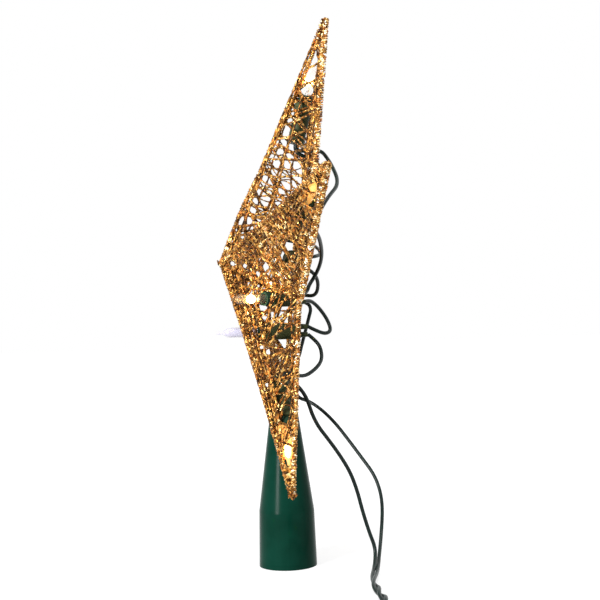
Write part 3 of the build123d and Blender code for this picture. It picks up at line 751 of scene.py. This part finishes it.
def push_off(path, before, after, reach, normal):
    """Pulls a strand off a gap within its facet, to the side that its nearest point is on."""
    along = (after - before).normalized()
    nearest = min(path, key=lambda place: off_line(place, before, after).length)
    side = normal.cross(path[-1] - path[0]).normalized()
    if side.dot(off_line(nearest, before, after)) < 0:
        side = -side
    flat = side - along * side.dot(along)
    gain = flat.length
    if gain < FLAT_GAIN:
        return
    flat = flat / gain
    moves = []
    for place in path:
        out = off_line(place, before, after)
        on_side = out.dot(flat)
        move = 0
        if out.length < reach:
            move = math.sqrt(on_side * on_side - out.length_squared + reach * reach) - on_side
        moves.append(move)
    most = max(moves)
    peak = moves.index(most)
    for number in range(1, len(path) - 1):
        share = max(0, 1 - abs(number - peak) / TENT_STEPS)
        path[number] = path[number] + side * (most * share / gain)


def nearby(items, first, last):
    """The items that a strand comes near."""
    return [
        (before, after, reach) for before, after, reach in items
        if segment_gap(first, last, before, after) < reach + LOOK_ROUND
    ]


def bend_round(path, radius, normal):
    """Bends a strand round what is in its way. False where it still touches or bows too far."""
    first, last = path[0], path[-1]
    slack = rng.uniform(*GAP_SLACK)
    near_hard = nearby(keep_clear, first, last)
    near_gaps = nearby(gap_rays, first, last)
    for attempt in range(BEND_ROUNDS):
        for before, after, reach in near_gaps:
            push_off(path, before, after, reach * slack + radius * SPARE, normal)
        for number in range(1, len(path) - 1):
            for before, after, reach in near_hard:
                out = off_line(path[number], before, after)
                short = reach + radius * SPARE - out.length
                if short > 0 and out.length > 0:
                    path[number] = path[number] + out.normalized() * short
        if attempt < BEND_ROUNDS - 1:
            threes = zip(path, path[1:], path[2:])
            path[1:-1] = [(before + place * 2 + after) / 4 for before, place, after in threes]
    for start, end in pairwise(path):
        for before, after, reach in near_hard:
            if segment_gap(start, end, before, after) < reach + radius * HARD_KEPT:
                return False
        for before, after, reach in near_gaps:
            if segment_gap(start, end, before, after) < reach * slack * GAP_KEPT:
                return False
    bow_limit = min(BOW_MOST, BOW_LEAST + BOW_SHARE * (last - first).length)
    return max(off_line(place, first, last).length for place in path) < bow_limit


print("things to give way to", len(keep_clear) + len(gap_rays))

# %% [markdown]
# ## Rows of strands
# A family of strands leans one way, and two that lean opposite ways make a net. A strand that is
# refused is drawn again a few times before it is left out, so the thread crowds a little at the
# gaps' edges.

# %% Families of strands
STEP = 1.7 * MM
FEWEST_STEPS = 3
SWAY = 0.3 * MM
STRAND_SIDES = 5
UNEVEN = (0.6, 1.35)
GRAIN_SPACING = 0.8 * MM
TRIES = 5
ACROSS_SHIFT = 0.45
LEAN_SHIFT = 0.03
FIRST_PART = 0.01
LAST_PART = 0.985
ACROSS_SIZES = (0.55, 1.3)
SHORTEST = 2 * MM
ALONG_SHIFT = 0.4
ALONG_STARTS = (0.03, 0.45)
ALONG_SIZES = (0.8, 1.4)


def add_strand(maker, glitter, start, end, radius, normal):
    """One strand with an uneven thickness, and its grains. False where it found no way through."""
    steps = max(FEWEST_STEPS, round((end - start).length / STEP))
    sway = random_way() * SWAY
    path = []
    for step in range(steps + 1):
        part = step / steps
        path.append(start.lerp(end, part) + sway * math.sin(math.pi * part))
    if not bend_round(path, radius, normal):
        return False
    maker.tube(path, [radius * rng.uniform(*UNEVEN) for place in path], STRAND_SIDES)
    add_grains(glitter, path, radius, GRAIN_SPACING)
    return True


def along_chain(points, part):
    """A place part of the way along a chain of points."""
    lengths = [(after - before).length for before, after in pairwise(points)]
    left = part * sum(lengths)
    for before, after, length in zip(points, points[1:], lengths):
        if left <= length:
            return before.lerp(after, left / length)
        left -= length
    return points[-1]


def wind_across(maker, glitter, near, far, families, normal, radius):
    """Families of strands from one chain to another. Returns how many found no way."""
    missed = 0
    for lean, count in families:
        for number in range(count):
            for attempt in range(TRIES):
                near_part = (number + 0.5 + rng.uniform(-ACROSS_SHIFT, ACROSS_SHIFT)) / count
                far_part = near_part + lean + rng.uniform(-LEAN_SHIFT, LEAN_SHIFT)
                start = along_chain(near, min(max(near_part, FIRST_PART), LAST_PART))
                end = along_chain(far, min(max(far_part, FIRST_PART), LAST_PART))
                size = radius * rng.uniform(*ACROSS_SIZES)
                if (end - start).length < SHORTEST:
                    break
                if add_strand(maker, glitter, start, end, size, normal):
                    break
            else:
                missed += 1
    return missed


def wind_along(maker, glitter, tip, foot, count, normal, radius):
    """Strands fanned out from the tip to places along the foot. Returns how many found no way."""
    missed = 0
    for number in range(count):
        for attempt in range(TRIES):
            end = along_chain(foot, (number + 0.5 + rng.uniform(-ALONG_SHIFT, ALONG_SHIFT)) / count)
            start = tip.lerp(end, rng.uniform(*ALONG_STARTS))
            size = radius * rng.uniform(*ALONG_SIZES)
            if add_strand(maker, glitter, start, end, size, normal):
                break
        else:
            missed += 1
    return missed


print("strands tried up to", TRIES, "times")

# %% [markdown]
# ## Thread on the five arms
# The top arm is wound more openly than the others. Each facet gets lengthwise strands and then
# families across, and the flat back of the arm gets families from edge to edge.

# %% Thread on the arms
OPEN_FAMILIES = [(0.07, 27), (-0.08, 27), (0.0, 12)]
DENSE_FAMILIES = [(0.08, 24), (-0.09, 24), (0.01, 14), (0.2, 10), (-0.22, 8)]
BACK_FAMILIES = [(0.10, 15), (-0.10, 15), (0.3, 6)]
OPEN_BACK = [(0.10, 14), (-0.10, 14)]
STRAND_RADIUS = 0.5 * MM
OPEN_RADIUS = 0.56 * MM
DENSE_WINDING = (14, DENSE_FAMILIES, BACK_FAMILIES, STRAND_RADIUS)
OPEN_WINDING = (11, OPEN_FAMILIES, OPEN_BACK, OPEN_RADIUS)
for arm in ARMS:
    winding = OPEN_WINDING if arm == "top" else DENSE_WINDING
    lengthwise, front_families, back_families, radius = winding
    strands = Maker()
    glitter = Maker()
    missed = 0
    tip = tips[arm]
    left, right = corners[arm]
    for corner in (left, right):
        normal = (corner - tip).cross(apex - tip).normalized()
        edge = [tip, corner, apex]
        missed += wind_along(strands, glitter, tip, edge[1:], lengthwise, normal, radius)
        missed += wind_across(strands, glitter, ridges[arm], edge, front_families, normal, radius)
    sides = [tip, left], [tip, right]
    missed += wind_across(strands, glitter, *sides, back_families, star_front, radius)
    web = strands.piece("wound_thread_" + arm, ROOT, thread_gold, "gold_thread")
    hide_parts("arm_web_" + arm)
    glitter.piece("glitter_" + arm, ROOT, grain_gold, "gold_thread", smooth=False)
    print(arm, "strand faces", len(strands.faces), "left out", missed)

# %% [markdown]
# ## Thread across the back
# The middle of the back is a pentagon between the inner corners. Strands run from each side of it
# to a line across the pentagon, so five rows overlap and leave gaps that the lamps were pushed in
# through.

# %% Back of the star
RING_FAMILIES = [(0.0, 9), (0.3, 7)]
strands = Maker()
glitter = Maker()
ring_corners = [corners[arm][0] for arm in ARMS]
missed = 0
for number, corner in enumerate(ring_corners):
    after = ring_corners[(number + 1) % len(ring_corners)]
    across = ring_corners[(number + 3) % len(ring_corners)]
    sides = [corner, after], [after, across]
    missed += wind_across(strands, glitter, *sides, RING_FAMILIES, star_front, STRAND_RADIUS)
web = strands.piece("wound_thread_back", ROOT, thread_gold, "gold_thread")
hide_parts("back_web")
glitter.piece("glitter_back", ROOT, grain_gold, "gold_thread", smooth=False)
print("back strand faces", len(strands.faces), "left out", missed)

# %% [markdown]
# ## The frame and the thread round it
# The frame's own wires are wrapped too, which is why they look half as thick again as the bare
# wire. A close helix of thinner thread does it, with grains on it, and a binding holds the wires
# together at each tip. Along the back rim of the upper arms a second bundle of thread stands a
# little proud. The thread and grains on every arm's edge wires and on these bundles are a paler
# gold: a painted rim light, for the light that catches the star's rim. At the apex the turns of
# thread pile up into a small knot.

# %% Wires, wraps and bindings
FRAME_RADIUS = 0.95 * MM
WRAP_PITCH = 1.35 * MM
WRAP_RADIUS = 0.95 * MM
WRAP_THREAD = 0.34 * MM
WRAP_STEPS = 8
WRAP_GRAIN_SPACING = 0.28 * MM
BINDING_LENGTH = 13 * MM
BINDING_RADII = (1.5 * MM, 2.7 * MM)
KNOT_RADIUS = 1.3 * MM
BUNDLE_ARMS = ("top", "right_upper", "left_upper")
BUNDLE_BACK = 0.9 * MM
BUNDLE_RADIUS = 1.05 * MM
LOOK_AHEAD = 0.01
TURN_SHIFT = 0.45
WRAP_UNEVEN = (0.82, 1.12)
WRAP_SLIP = 0.3
THREAD_UNEVEN = (0.7, 1.3)
FRAME_SIDES = 10
GRAIN_SEAT = 0.6
KNOT_TURNS = 5
WRAP_SHORT = 0.985


def helix(maker, line, first_radius, last_radius):
    """A helix of thread round a line of points."""
    side = (line[-1] - line[0]).orthogonal().normalized()
    length = sum((after - before).length for before, after in pairwise(line))
    count = round(length / WRAP_PITCH * WRAP_STEPS)
    path = []
    radii = []
    for step in range(count + 1):
        part = step / count
        ahead = along_chain(line, min(part + LOOK_AHEAD, 1))
        way = (ahead - along_chain(line, max(part - LOOK_AHEAD, 0))).normalized()
        level = (side - way * side.dot(way)).normalized()
        angle = 2 * math.pi * (step + rng.uniform(-TURN_SHIFT, TURN_SHIFT)) / WRAP_STEPS
        reach = (first_radius + (last_radius - first_radius) * part) * rng.uniform(*WRAP_UNEVEN)
        out = level * math.cos(angle) + way.cross(level) * math.sin(angle)
        slip = way * (rng.uniform(-WRAP_SLIP, WRAP_SLIP) * WRAP_PITCH)
        path.append(along_chain(line, part) + out * reach + slip)
        radii.append(WRAP_THREAD * rng.uniform(*THREAD_UNEVEN))
    maker.tube(path, radii, STRAND_SIDES)


def wrap(wires, threads, glitter, line):
    """One frame wire, the thread round it and its grains."""
    wires.tube(line, [FRAME_RADIUS] * len(line), FRAME_SIDES)
    helix(threads, line, WRAP_RADIUS, WRAP_RADIUS)
    add_grains(glitter, line, WRAP_RADIUS + WRAP_THREAD * GRAIN_SEAT, WRAP_GRAIN_SPACING)


for arm in ARMS:
    wires = Maker()
    threads = Maker()
    glitter = Maker()
    # The edge wires' wraps and the back bundles use the paler gold, which is painted rim light.
    rim_lit_threads = Maker()
    rim_lit_glitter = Maker()
    tip = STAR_CENTRE.lerp(tips[arm], WRAP_SHORT)
    for corner in corners[arm]:
        wrap(wires, rim_lit_threads, rim_lit_glitter, [tip, corner])
        if arm in BUNDLE_ARMS:
            behind = [place - star_front * BUNDLE_BACK for place in (tip, corner)]
            helix(rim_lit_threads, behind, BUNDLE_RADIUS, BUNDLE_RADIUS)
            seat = BUNDLE_RADIUS + WRAP_THREAD * GRAIN_SEAT
            add_grains(rim_lit_glitter, behind, seat, WRAP_GRAIN_SPACING)
    wrap(wires, threads, glitter, [tip] + ridges[arm][1:])
    wrap(wires, threads, glitter, [corners[arm][0], apex])
    inward = ((corners[arm][0] + corners[arm][1]) / 2 + apex) / 2
    bound = tip + (inward - tip).normalized() * BINDING_LENGTH
    helix(threads, [tip, bound], *BINDING_RADII)
    add_grains(glitter, [tip, bound], sum(BINDING_RADII) / 2, WRAP_GRAIN_SPACING / 2)
    if arm == "top":
        for turn_number in range(KNOT_TURNS):
            way = random_way() * KNOT_RADIUS
            helix(threads, [apex - way, apex + way], KNOT_RADIUS, KNOT_RADIUS / 2)
    frame_piece = wires.piece("frame_wires_" + arm, ROOT, wire_gold, "frame_wire")
    if arm == "top":
        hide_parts("edge_wires", "ridge_wires", "valley_wires", "apex_boss")
    threads.piece("wrapped_thread_" + arm, ROOT, thread_gold, "gold_thread")
    glitter.piece("wrap_glitter_" + arm, ROOT, grain_gold, "gold_thread", smooth=False)
    rim_lit_threads.piece("rim_thread_" + arm, ROOT, rim_light_gold, "gold_thread")
    rim_lit_glitter.piece("rim_glitter_" + arm, ROOT, rim_light_gold, "gold_thread", smooth=False)
    print(arm, "wrap faces", len(threads.faces) + len(rim_lit_threads.faces))

# %% [markdown]
# ## Plain finishes for the construction nodes
# The cone, the stem, the lamps, most holders and the plug keep their construction shapes and only
# get a finish. Each has some wear or grain, since a flat colour is what makes a model look like a
# model.

# %% Plastic, metal and glass
GRAIN_FINER = 14
GRAIN_DEPTH = 0.00008
MARK_SCALE = 900.0
MARK_DEPTH = 0.00005
MARK_ROUGHER = 0.15
SWIRL_SCALE = 260.0
SWIRL_PALER = 1.06
GLASS_SMOOTH = 0.05
GLASS_UNEVEN = 0.08
WARM_LIGHT = (1, 0.5, 0.12, 1)


def plastic(name, dark, light, scale, roughness, uneven):
    """Moulded plastic with a soft mottle and a slight surface grain."""
    finish = Finish(name, {"Specular IOR Level": 0.05})
    mottle = finish.noise(scale, detail=5.0)
    grain = finish.noise(scale * GRAIN_FINER, detail=2.0)
    finish.paint({
        "Base Color": finish.ramp(mottle, [(0.3, dark), (0.72, light)]),
        "Roughness": roughness + mottle * uneven,
        "Normal": finish.bump(grain, GRAIN_DEPTH, strength=0.35),
    })
    return finish.material


def metal(name, dark, light, roughness):
    """Bright metal with fine drawing marks."""
    finish = Finish(name, {"Metallic": 1.0})
    marks = finish.noise(MARK_SCALE, detail=4.0)
    finish.paint({
        "Base Color": finish.ramp(marks, [(0.3, dark), (0.7, light)]),
        "Roughness": roughness + marks * MARK_ROUGHER,
        "Normal": finish.bump(marks, MARK_DEPTH, strength=0.3),
    })
    return finish.material


def clear_glass(name, tint, alpha, glow):
    """Thin glass with a faint mottle. A lit lamp's glass takes on some of the light inside it."""
    finish = Finish(name, {"Specular IOR Level": 0.7, "Coat Weight": 0.3, "Alpha": alpha})
    swirl = finish.noise(SWIRL_SCALE, detail=2.0)
    pale = [min(1, part * SWIRL_PALER) for part in tint]
    finish.paint({
        "Base Color": finish.ramp(swirl, [(0.3, tint), (0.7, pale)]),
        "Roughness": GLASS_SMOOTH + swirl * GLASS_UNEVEN,
        "Emission Color": WARM_LIGHT,
        "Emission Strength": glow,
    })
    return finish.material


CONE_DARK, CONE_LIGHT = (0.0005, 0.024, 0.014), (0.002, 0.038, 0.024)
HOLDER_DARK, HOLDER_LIGHT = (0.032, 0.044, 0.02), (0.075, 0.088, 0.04)
BASE_DARK, BASE_LIGHT = (0.012, 0.04, 0.024), (0.03, 0.07, 0.045)
TIE_DARK, TIE_LIGHT = (0.006, 0.05, 0.026), (0.014, 0.08, 0.042)
PLUG_DARK, PLUG_LIGHT = (0.002, 0.024, 0.016), (0.005, 0.042, 0.029)
cone_green = plastic("cone_plastic", CONE_DARK, CONE_LIGHT, 70.0, roughness=0.18, uneven=0.08)
holder_green = plastic("holder_plastic", HOLDER_DARK, HOLDER_LIGHT, 300.0,
                       roughness=0.28, uneven=0.2)
base_green = plastic("lamp_base_plastic", BASE_DARK, BASE_LIGHT, 300.0, roughness=0.3, uneven=0.2)
tie_green = plastic("tie_plastic", TIE_DARK, TIE_LIGHT, 200.0, roughness=0.45, uneven=0.2)
plug_green = plastic("plug_plastic", PLUG_DARK, PLUG_LIGHT, 120.0, roughness=0.4, uneven=0.2)
stem_steel = metal("stem_steel", (0.36, 0.36, 0.35), (0.62, 0.61, 0.59), roughness=0.25)
contact_brass = metal("contact_brass", (0.5, 0.32, 0.1), (0.78, 0.56, 0.24), roughness=0.25)
blade_brass = metal("blade_brass", (0.56, 0.4, 0.16), (0.82, 0.64, 0.32), roughness=0.18)
unlit_glass = clear_glass("lamp_glass", (0.66, 0.64, 0.82), alpha=0.34, glow=0.0)
lit_glass = clear_glass("lamp_glass_lit", (0.8, 0.72, 0.6), alpha=0.06, glow=0.06)
glowing_glass = clear_glass("lamp_glass_glowing", (1.0, 0.7, 0.3), alpha=0.45, glow=0.8)
fuse_glass = clear_glass("fuse_glass", (0.86, 0.9, 0.9), alpha=0.4, glow=0.0)
UNLIT = ["front_low"]
HAZY = ["right_upper", "left_upper", "right_lower", "left_lower"]
print("finishes", len(bpy.data.materials))

# %% [markdown]
# ## Holders of the front lamps
# The construction model has a plain round holder. A moulded one ends in a short sleeve for each of
# its two wires, and those of the front lamps show behind the rim. These pieces take the plain
# ones' place.

# %% Moulded holders
HOLDER_PROFILE = [
    (-17.7, 0.2), (-17.4, 3.7), (-16.6, 4.1), (-2.6, 4.2), (-2.3, 4.6), (-0.4, 4.6), (-0.1, 4.3),
    (-0.1, 3.3), (-0.5, 3.0), (-12, 3.0), (-12, 0.2),
]
SLEEVE_ENDS = (-17.2, -21.0)
SLEEVE_RADII = [1.45 * MM, 1.15 * MM]
WIRE_APART = 2.0 * MM
HOLDER_SIDES = 28
SLEEVE_SIDES = 14
for lamp in MOVING:
    place, way = lamp_places[lamp]
    holder = Maker()
    holder.turned(place, way, HOLDER_PROFILE, HOLDER_SIDES)
    for sign in (-1, 1):
        across = Vector((0, 0, sign * WIRE_APART))
        sleeve = [place + way * (end * MM) + across for end in SLEEVE_ENDS]
        holder.tube(sleeve, SLEEVE_RADII, SLEEVE_SIDES)
    moulded = holder.piece("moulded_holder_" + lamp, ROOT, holder_green, "holder_plastic",
                           smooth=False)
    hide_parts("holder_" + lamp)
print("moulded holders", len(MOVING))

# %% [markdown]
# ## Finishes by name
# The construction nodes that still show get their finish by name, and so do the frame's wires and
# the plain holders that a finer piece hides. The glass of the lamps in the side arms is hazy with
# light, the other glass is clear, and one lamp is out.

# %% Finishes on the nodes
node_finishes = {
    "edge_wires": wire_gold, "ridge_wires": wire_gold, "valley_wires": wire_gold,
    "apex_boss": wire_gold, "tree_cone": cone_green, "stem_wire": stem_steel,
    "holder_contacts": contact_brass, "coil_tie": tie_green, "plug_body": plug_green,
    "fuse_door": plug_green, "plug_blades": blade_brass, "plug_fuses": fuse_glass,
}
for lamp in LAMPS:
    node_finishes["holder_" + lamp] = holder_green
    node_finishes["lamp_base_" + lamp] = base_green
    node_finishes["lamp_glass_" + lamp] = glowing_glass if lamp in HAZY else lit_glass
for lamp in UNLIT:
    node_finishes["lamp_glass_" + lamp] = unlit_glass
for name, finish in node_finishes.items():
    slots = nodes[name].data.materials
    slots.clear()
    slots.append(finish)
print("nodes finished", len(node_finishes))

# %% [markdown]
# ## Filaments and light
# Inside each lamp two stiff leads carry a glass bead and a tiny coiled filament. A lit lamp shows
# as a white core in a warm haze, because the eye can't see the wire for the light, so the lit
# lamps get a glowing core inside the glass. The lamps in the upper side arms are turned away and
# look softer, and the low one at the front is out in the picture and shows its filament.

# %% Lamp insides
LEAD_GAP = 0.75 * MM
FILAMENT_AT = 12 * MM
COIL_STEPS = 48
COIL_TURN_STEPS = 8
COIL_RADIUS = 0.22 * MM
COIL_WIRE = 0.06 * MM
COIL_SIDES = 4
LEAD_FOOT = 2.5 * MM
LEAD_SPREAD = 1.05 * MM
LEAD_RADIUS = 0.14 * MM
LEAD_SIDES = 6
BEAD_SIDES = 12
CORE_SIDES = 16
GLOW_SCALE = 300.0
GLOW_STOPS = [(0.3, (1.0, 0.62, 0.22)), (0.7, (1.0, 0.5, 0.13))]
SHORT_CORE = [(9.6, 0.5), (10.0, 1.5), (10.8, 2.0), (12.4, 2.0), (13.4, 1.5), (13.8, 0.5)]
LONG_CORE = [(9.2, 0.4), (9.8, 0.9), (11, 1.3), (16.5, 1.3), (19.3, 0.9), (20.4, 0.4)]
LOW_CORE = [(13.2, 0.4), (13.8, 1.0), (15, 1.4), (18.2, 1.4), (19.6, 0.9), (20.4, 0.4)]
BEAD = [(6.2, 0.3), (6.5, 0.9), (7.1, 1.15), (7.7, 0.9), (8.0, 0.3)]
SOFT = ["right_upper", "left_upper"]
LOW_LIT = ["right_lower", "left_lower"]
BRIGHT_GLOW = 30.0
SOFT_GLOW = 1.0


def glow(name, strength):
    """The light of a filament."""
    finish = Finish(name, {"Base Color": (1, 0.7, 0.3, 1), "Roughness": 0.4})
    finish.paint({
        "Emission Color": finish.ramp(finish.noise(GLOW_SCALE), GLOW_STOPS),
        "Emission Strength": strength,
    })
    return finish.material


bright_glow = glow("lamp_glow", BRIGHT_GLOW)
soft_glow = glow("lamp_glow_soft", SOFT_GLOW)
filament_metal = metal("filament_metal", (0.3, 0.28, 0.26), (0.6, 0.57, 0.52), roughness=0.3)
BEAD_DARK, BEAD_LIGHT = (0.5, 0.5, 0.52), (0.7, 0.7, 0.72)
bead_glass = plastic("bead_glass", BEAD_DARK, BEAD_LIGHT, 500.0, roughness=0.2, uneven=0.1)
for lamp, (place, way) in lamp_places.items():
    body = MOVING.get(lamp, ROOT)
    side = way.orthogonal().normalized()
    inside = Maker()
    for sign in (-1, 1):
        foot = place + way * LEAD_FOOT + side * (sign * LEAD_GAP)
        head = place + way * FILAMENT_AT + side * (sign * LEAD_SPREAD)
        lead = [foot, foot.lerp(head, 0.5), head]
        inside.tube(lead, [LEAD_RADIUS] * len(lead), LEAD_SIDES)
    coil = []
    for step in range(COIL_STEPS + 1):
        angle = 2 * math.pi * step / COIL_TURN_STEPS
        across = side * ((2 * step / COIL_STEPS - 1) * LEAD_SPREAD)
        lift = (way * math.cos(angle) + way.cross(side) * math.sin(angle)) * COIL_RADIUS
        coil.append(place + way * FILAMENT_AT + across + lift)
    inside.tube(coil, [COIL_WIRE] * len(coil), COIL_SIDES)
    inside.piece("filament_" + lamp, body, filament_metal, "lamp_glass")
    bead = Maker()
    bead.turned(place, way, BEAD, BEAD_SIDES)
    bead.piece("bead_" + lamp, body, bead_glass, "lamp_glass")
    if lamp not in UNLIT:
        core = Maker()
        profile = LONG_CORE if lamp in SOFT else LOW_CORE if lamp in LOW_LIT else SHORT_CORE
        core.turned(place, way, profile, CORE_SIDES)
        light = soft_glow if lamp in SOFT else bright_glow
        core.piece("glow_" + lamp, body, light, "lamp_glass")
print("lamps fitted", len(lamp_places), "unlit", UNLIT)

# %% [markdown]
# ## Floor, backdrop and light
# The picture is a cut-out on white. The floor and the world show white to the camera, in
# reflections and through glass, while the light that falls on the star comes from soft studio
# lamps at an ordinary level. Near the star the floor is a little less lifted, so that the shadow
# there stays.

# %% Stage
FLOOR_HALF = 3.0
SHOWN_TO = ("Is Camera Ray", "Is Glossy Ray", "Is Transmission Ray")
FLOOR_SIGNS = ((-1, -1), (1, -1), (1, 1), (-1, 1))
floor_corners = [(x * FLOOR_HALF, y * FLOOR_HALF, 0) for x, y in FLOOR_SIGNS]
floor_mesh = bpy.data.meshes.new("floor")
floor_mesh.from_pydata(floor_corners, [], [(0, 1, 2, 3)])
floor = bpy.data.objects.new("floor", floor_mesh)
bpy.context.scene.collection.objects.link(floor)
paper = {"Roughness": 0.9, "Specular IOR Level": 0.0, "Emission Strength": 1.0}
floor_finish = Finish("floor_paper", paper)
seen, mirrored, through = [
    floor_finish.add("ShaderNodeLightPath", {}, output) for output in SHOWN_TO
]
shown = seen + mirrored + through
from_middle = floor_finish.vector("LENGTH", {0: floor_finish.place()}, "Value")
FLOOR_STOPS = [(0.0, (0.30, 0.30, 0.30)), (1.0, (0.32, 0.32, 0.32))]
FLOOR_SCALE = 3.0
NEAR_LIFT = 0.76
FAR_LIFT = 1.0
LIFT_STOPS = [
    (place, [lift] * 3)
    for place, lift in ((0.0, 0), (0.001, NEAR_LIFT), (0.2, NEAR_LIFT), (0.8, FAR_LIFT))
]
lift = floor_finish.ramp(shown * from_middle, LIFT_STOPS)
floor_finish.paint({
    "Base Color": floor_finish.ramp(floor_finish.noise(FLOOR_SCALE), FLOOR_STOPS),
    "Emission Color": lift,
})
floor_mesh.materials.append(floor_finish.material)
print("floor", FLOOR_HALF * 2, "metres across")

# %% [markdown]
# ## The room
# The world gives an even light, and it is white wherever the camera, a mirror or clear glass shows
# it. Three soft lamps stand round the star: the main one beside the camera, one above and a weak
# one behind.

# %% World and lamps
world = bpy.data.worlds.new("studio")
bpy.context.scene.world = world
world.use_nodes = True
world_nodes = world.node_tree.nodes
world_links = world.node_tree.links
background = world_nodes["Background"]
background.inputs["Color"].default_value = (1, 1, 1, 1)
ray = world_nodes.new("ShaderNodeLightPath")
AMBIENT = 0.52
WHITE = 1.0
strength = background.inputs["Strength"]
strength.default_value = AMBIENT
level = None
for output in SHOWN_TO:
    mix = world_nodes.new("ShaderNodeMix")
    mix.inputs["A"].default_value = AMBIENT
    mix.inputs["B"].default_value = WHITE
    world_links.new(ray.outputs[output], mix.inputs["Factor"])
    if level is not None:
        world_links.new(level, mix.inputs["A"])
    level = mix.outputs["Result"]
world_links.new(level, strength)


def soft_lamp(name, place, width, height, power):
    """A soft lamp that faces the star."""
    data = bpy.data.lights.new(name, "AREA")
    data.shape = "RECTANGLE"
    data.size = width
    data.size_y = height
    data.energy = power
    lamp = bpy.data.objects.new(name, data)
    lamp.location = place
    lamp.rotation_euler = (STAR_CENTRE - Vector(place)).to_track_quat("-Z", "Y").to_euler()
    bpy.context.scene.collection.objects.link(lamp)


soft_lamp("key_light", (0.80, -0.74, 0.4), width=0.24, height=0.6, power=18.0)
soft_lamp("rim_light", (-0.35, 0.9, 0.5), width=0.4, height=0.4, power=2.0)
soft_lamp("top_light", (0.2, 0.0, 1.3), width=0.5, height=0.5, power=9.0)
print("stage ready")
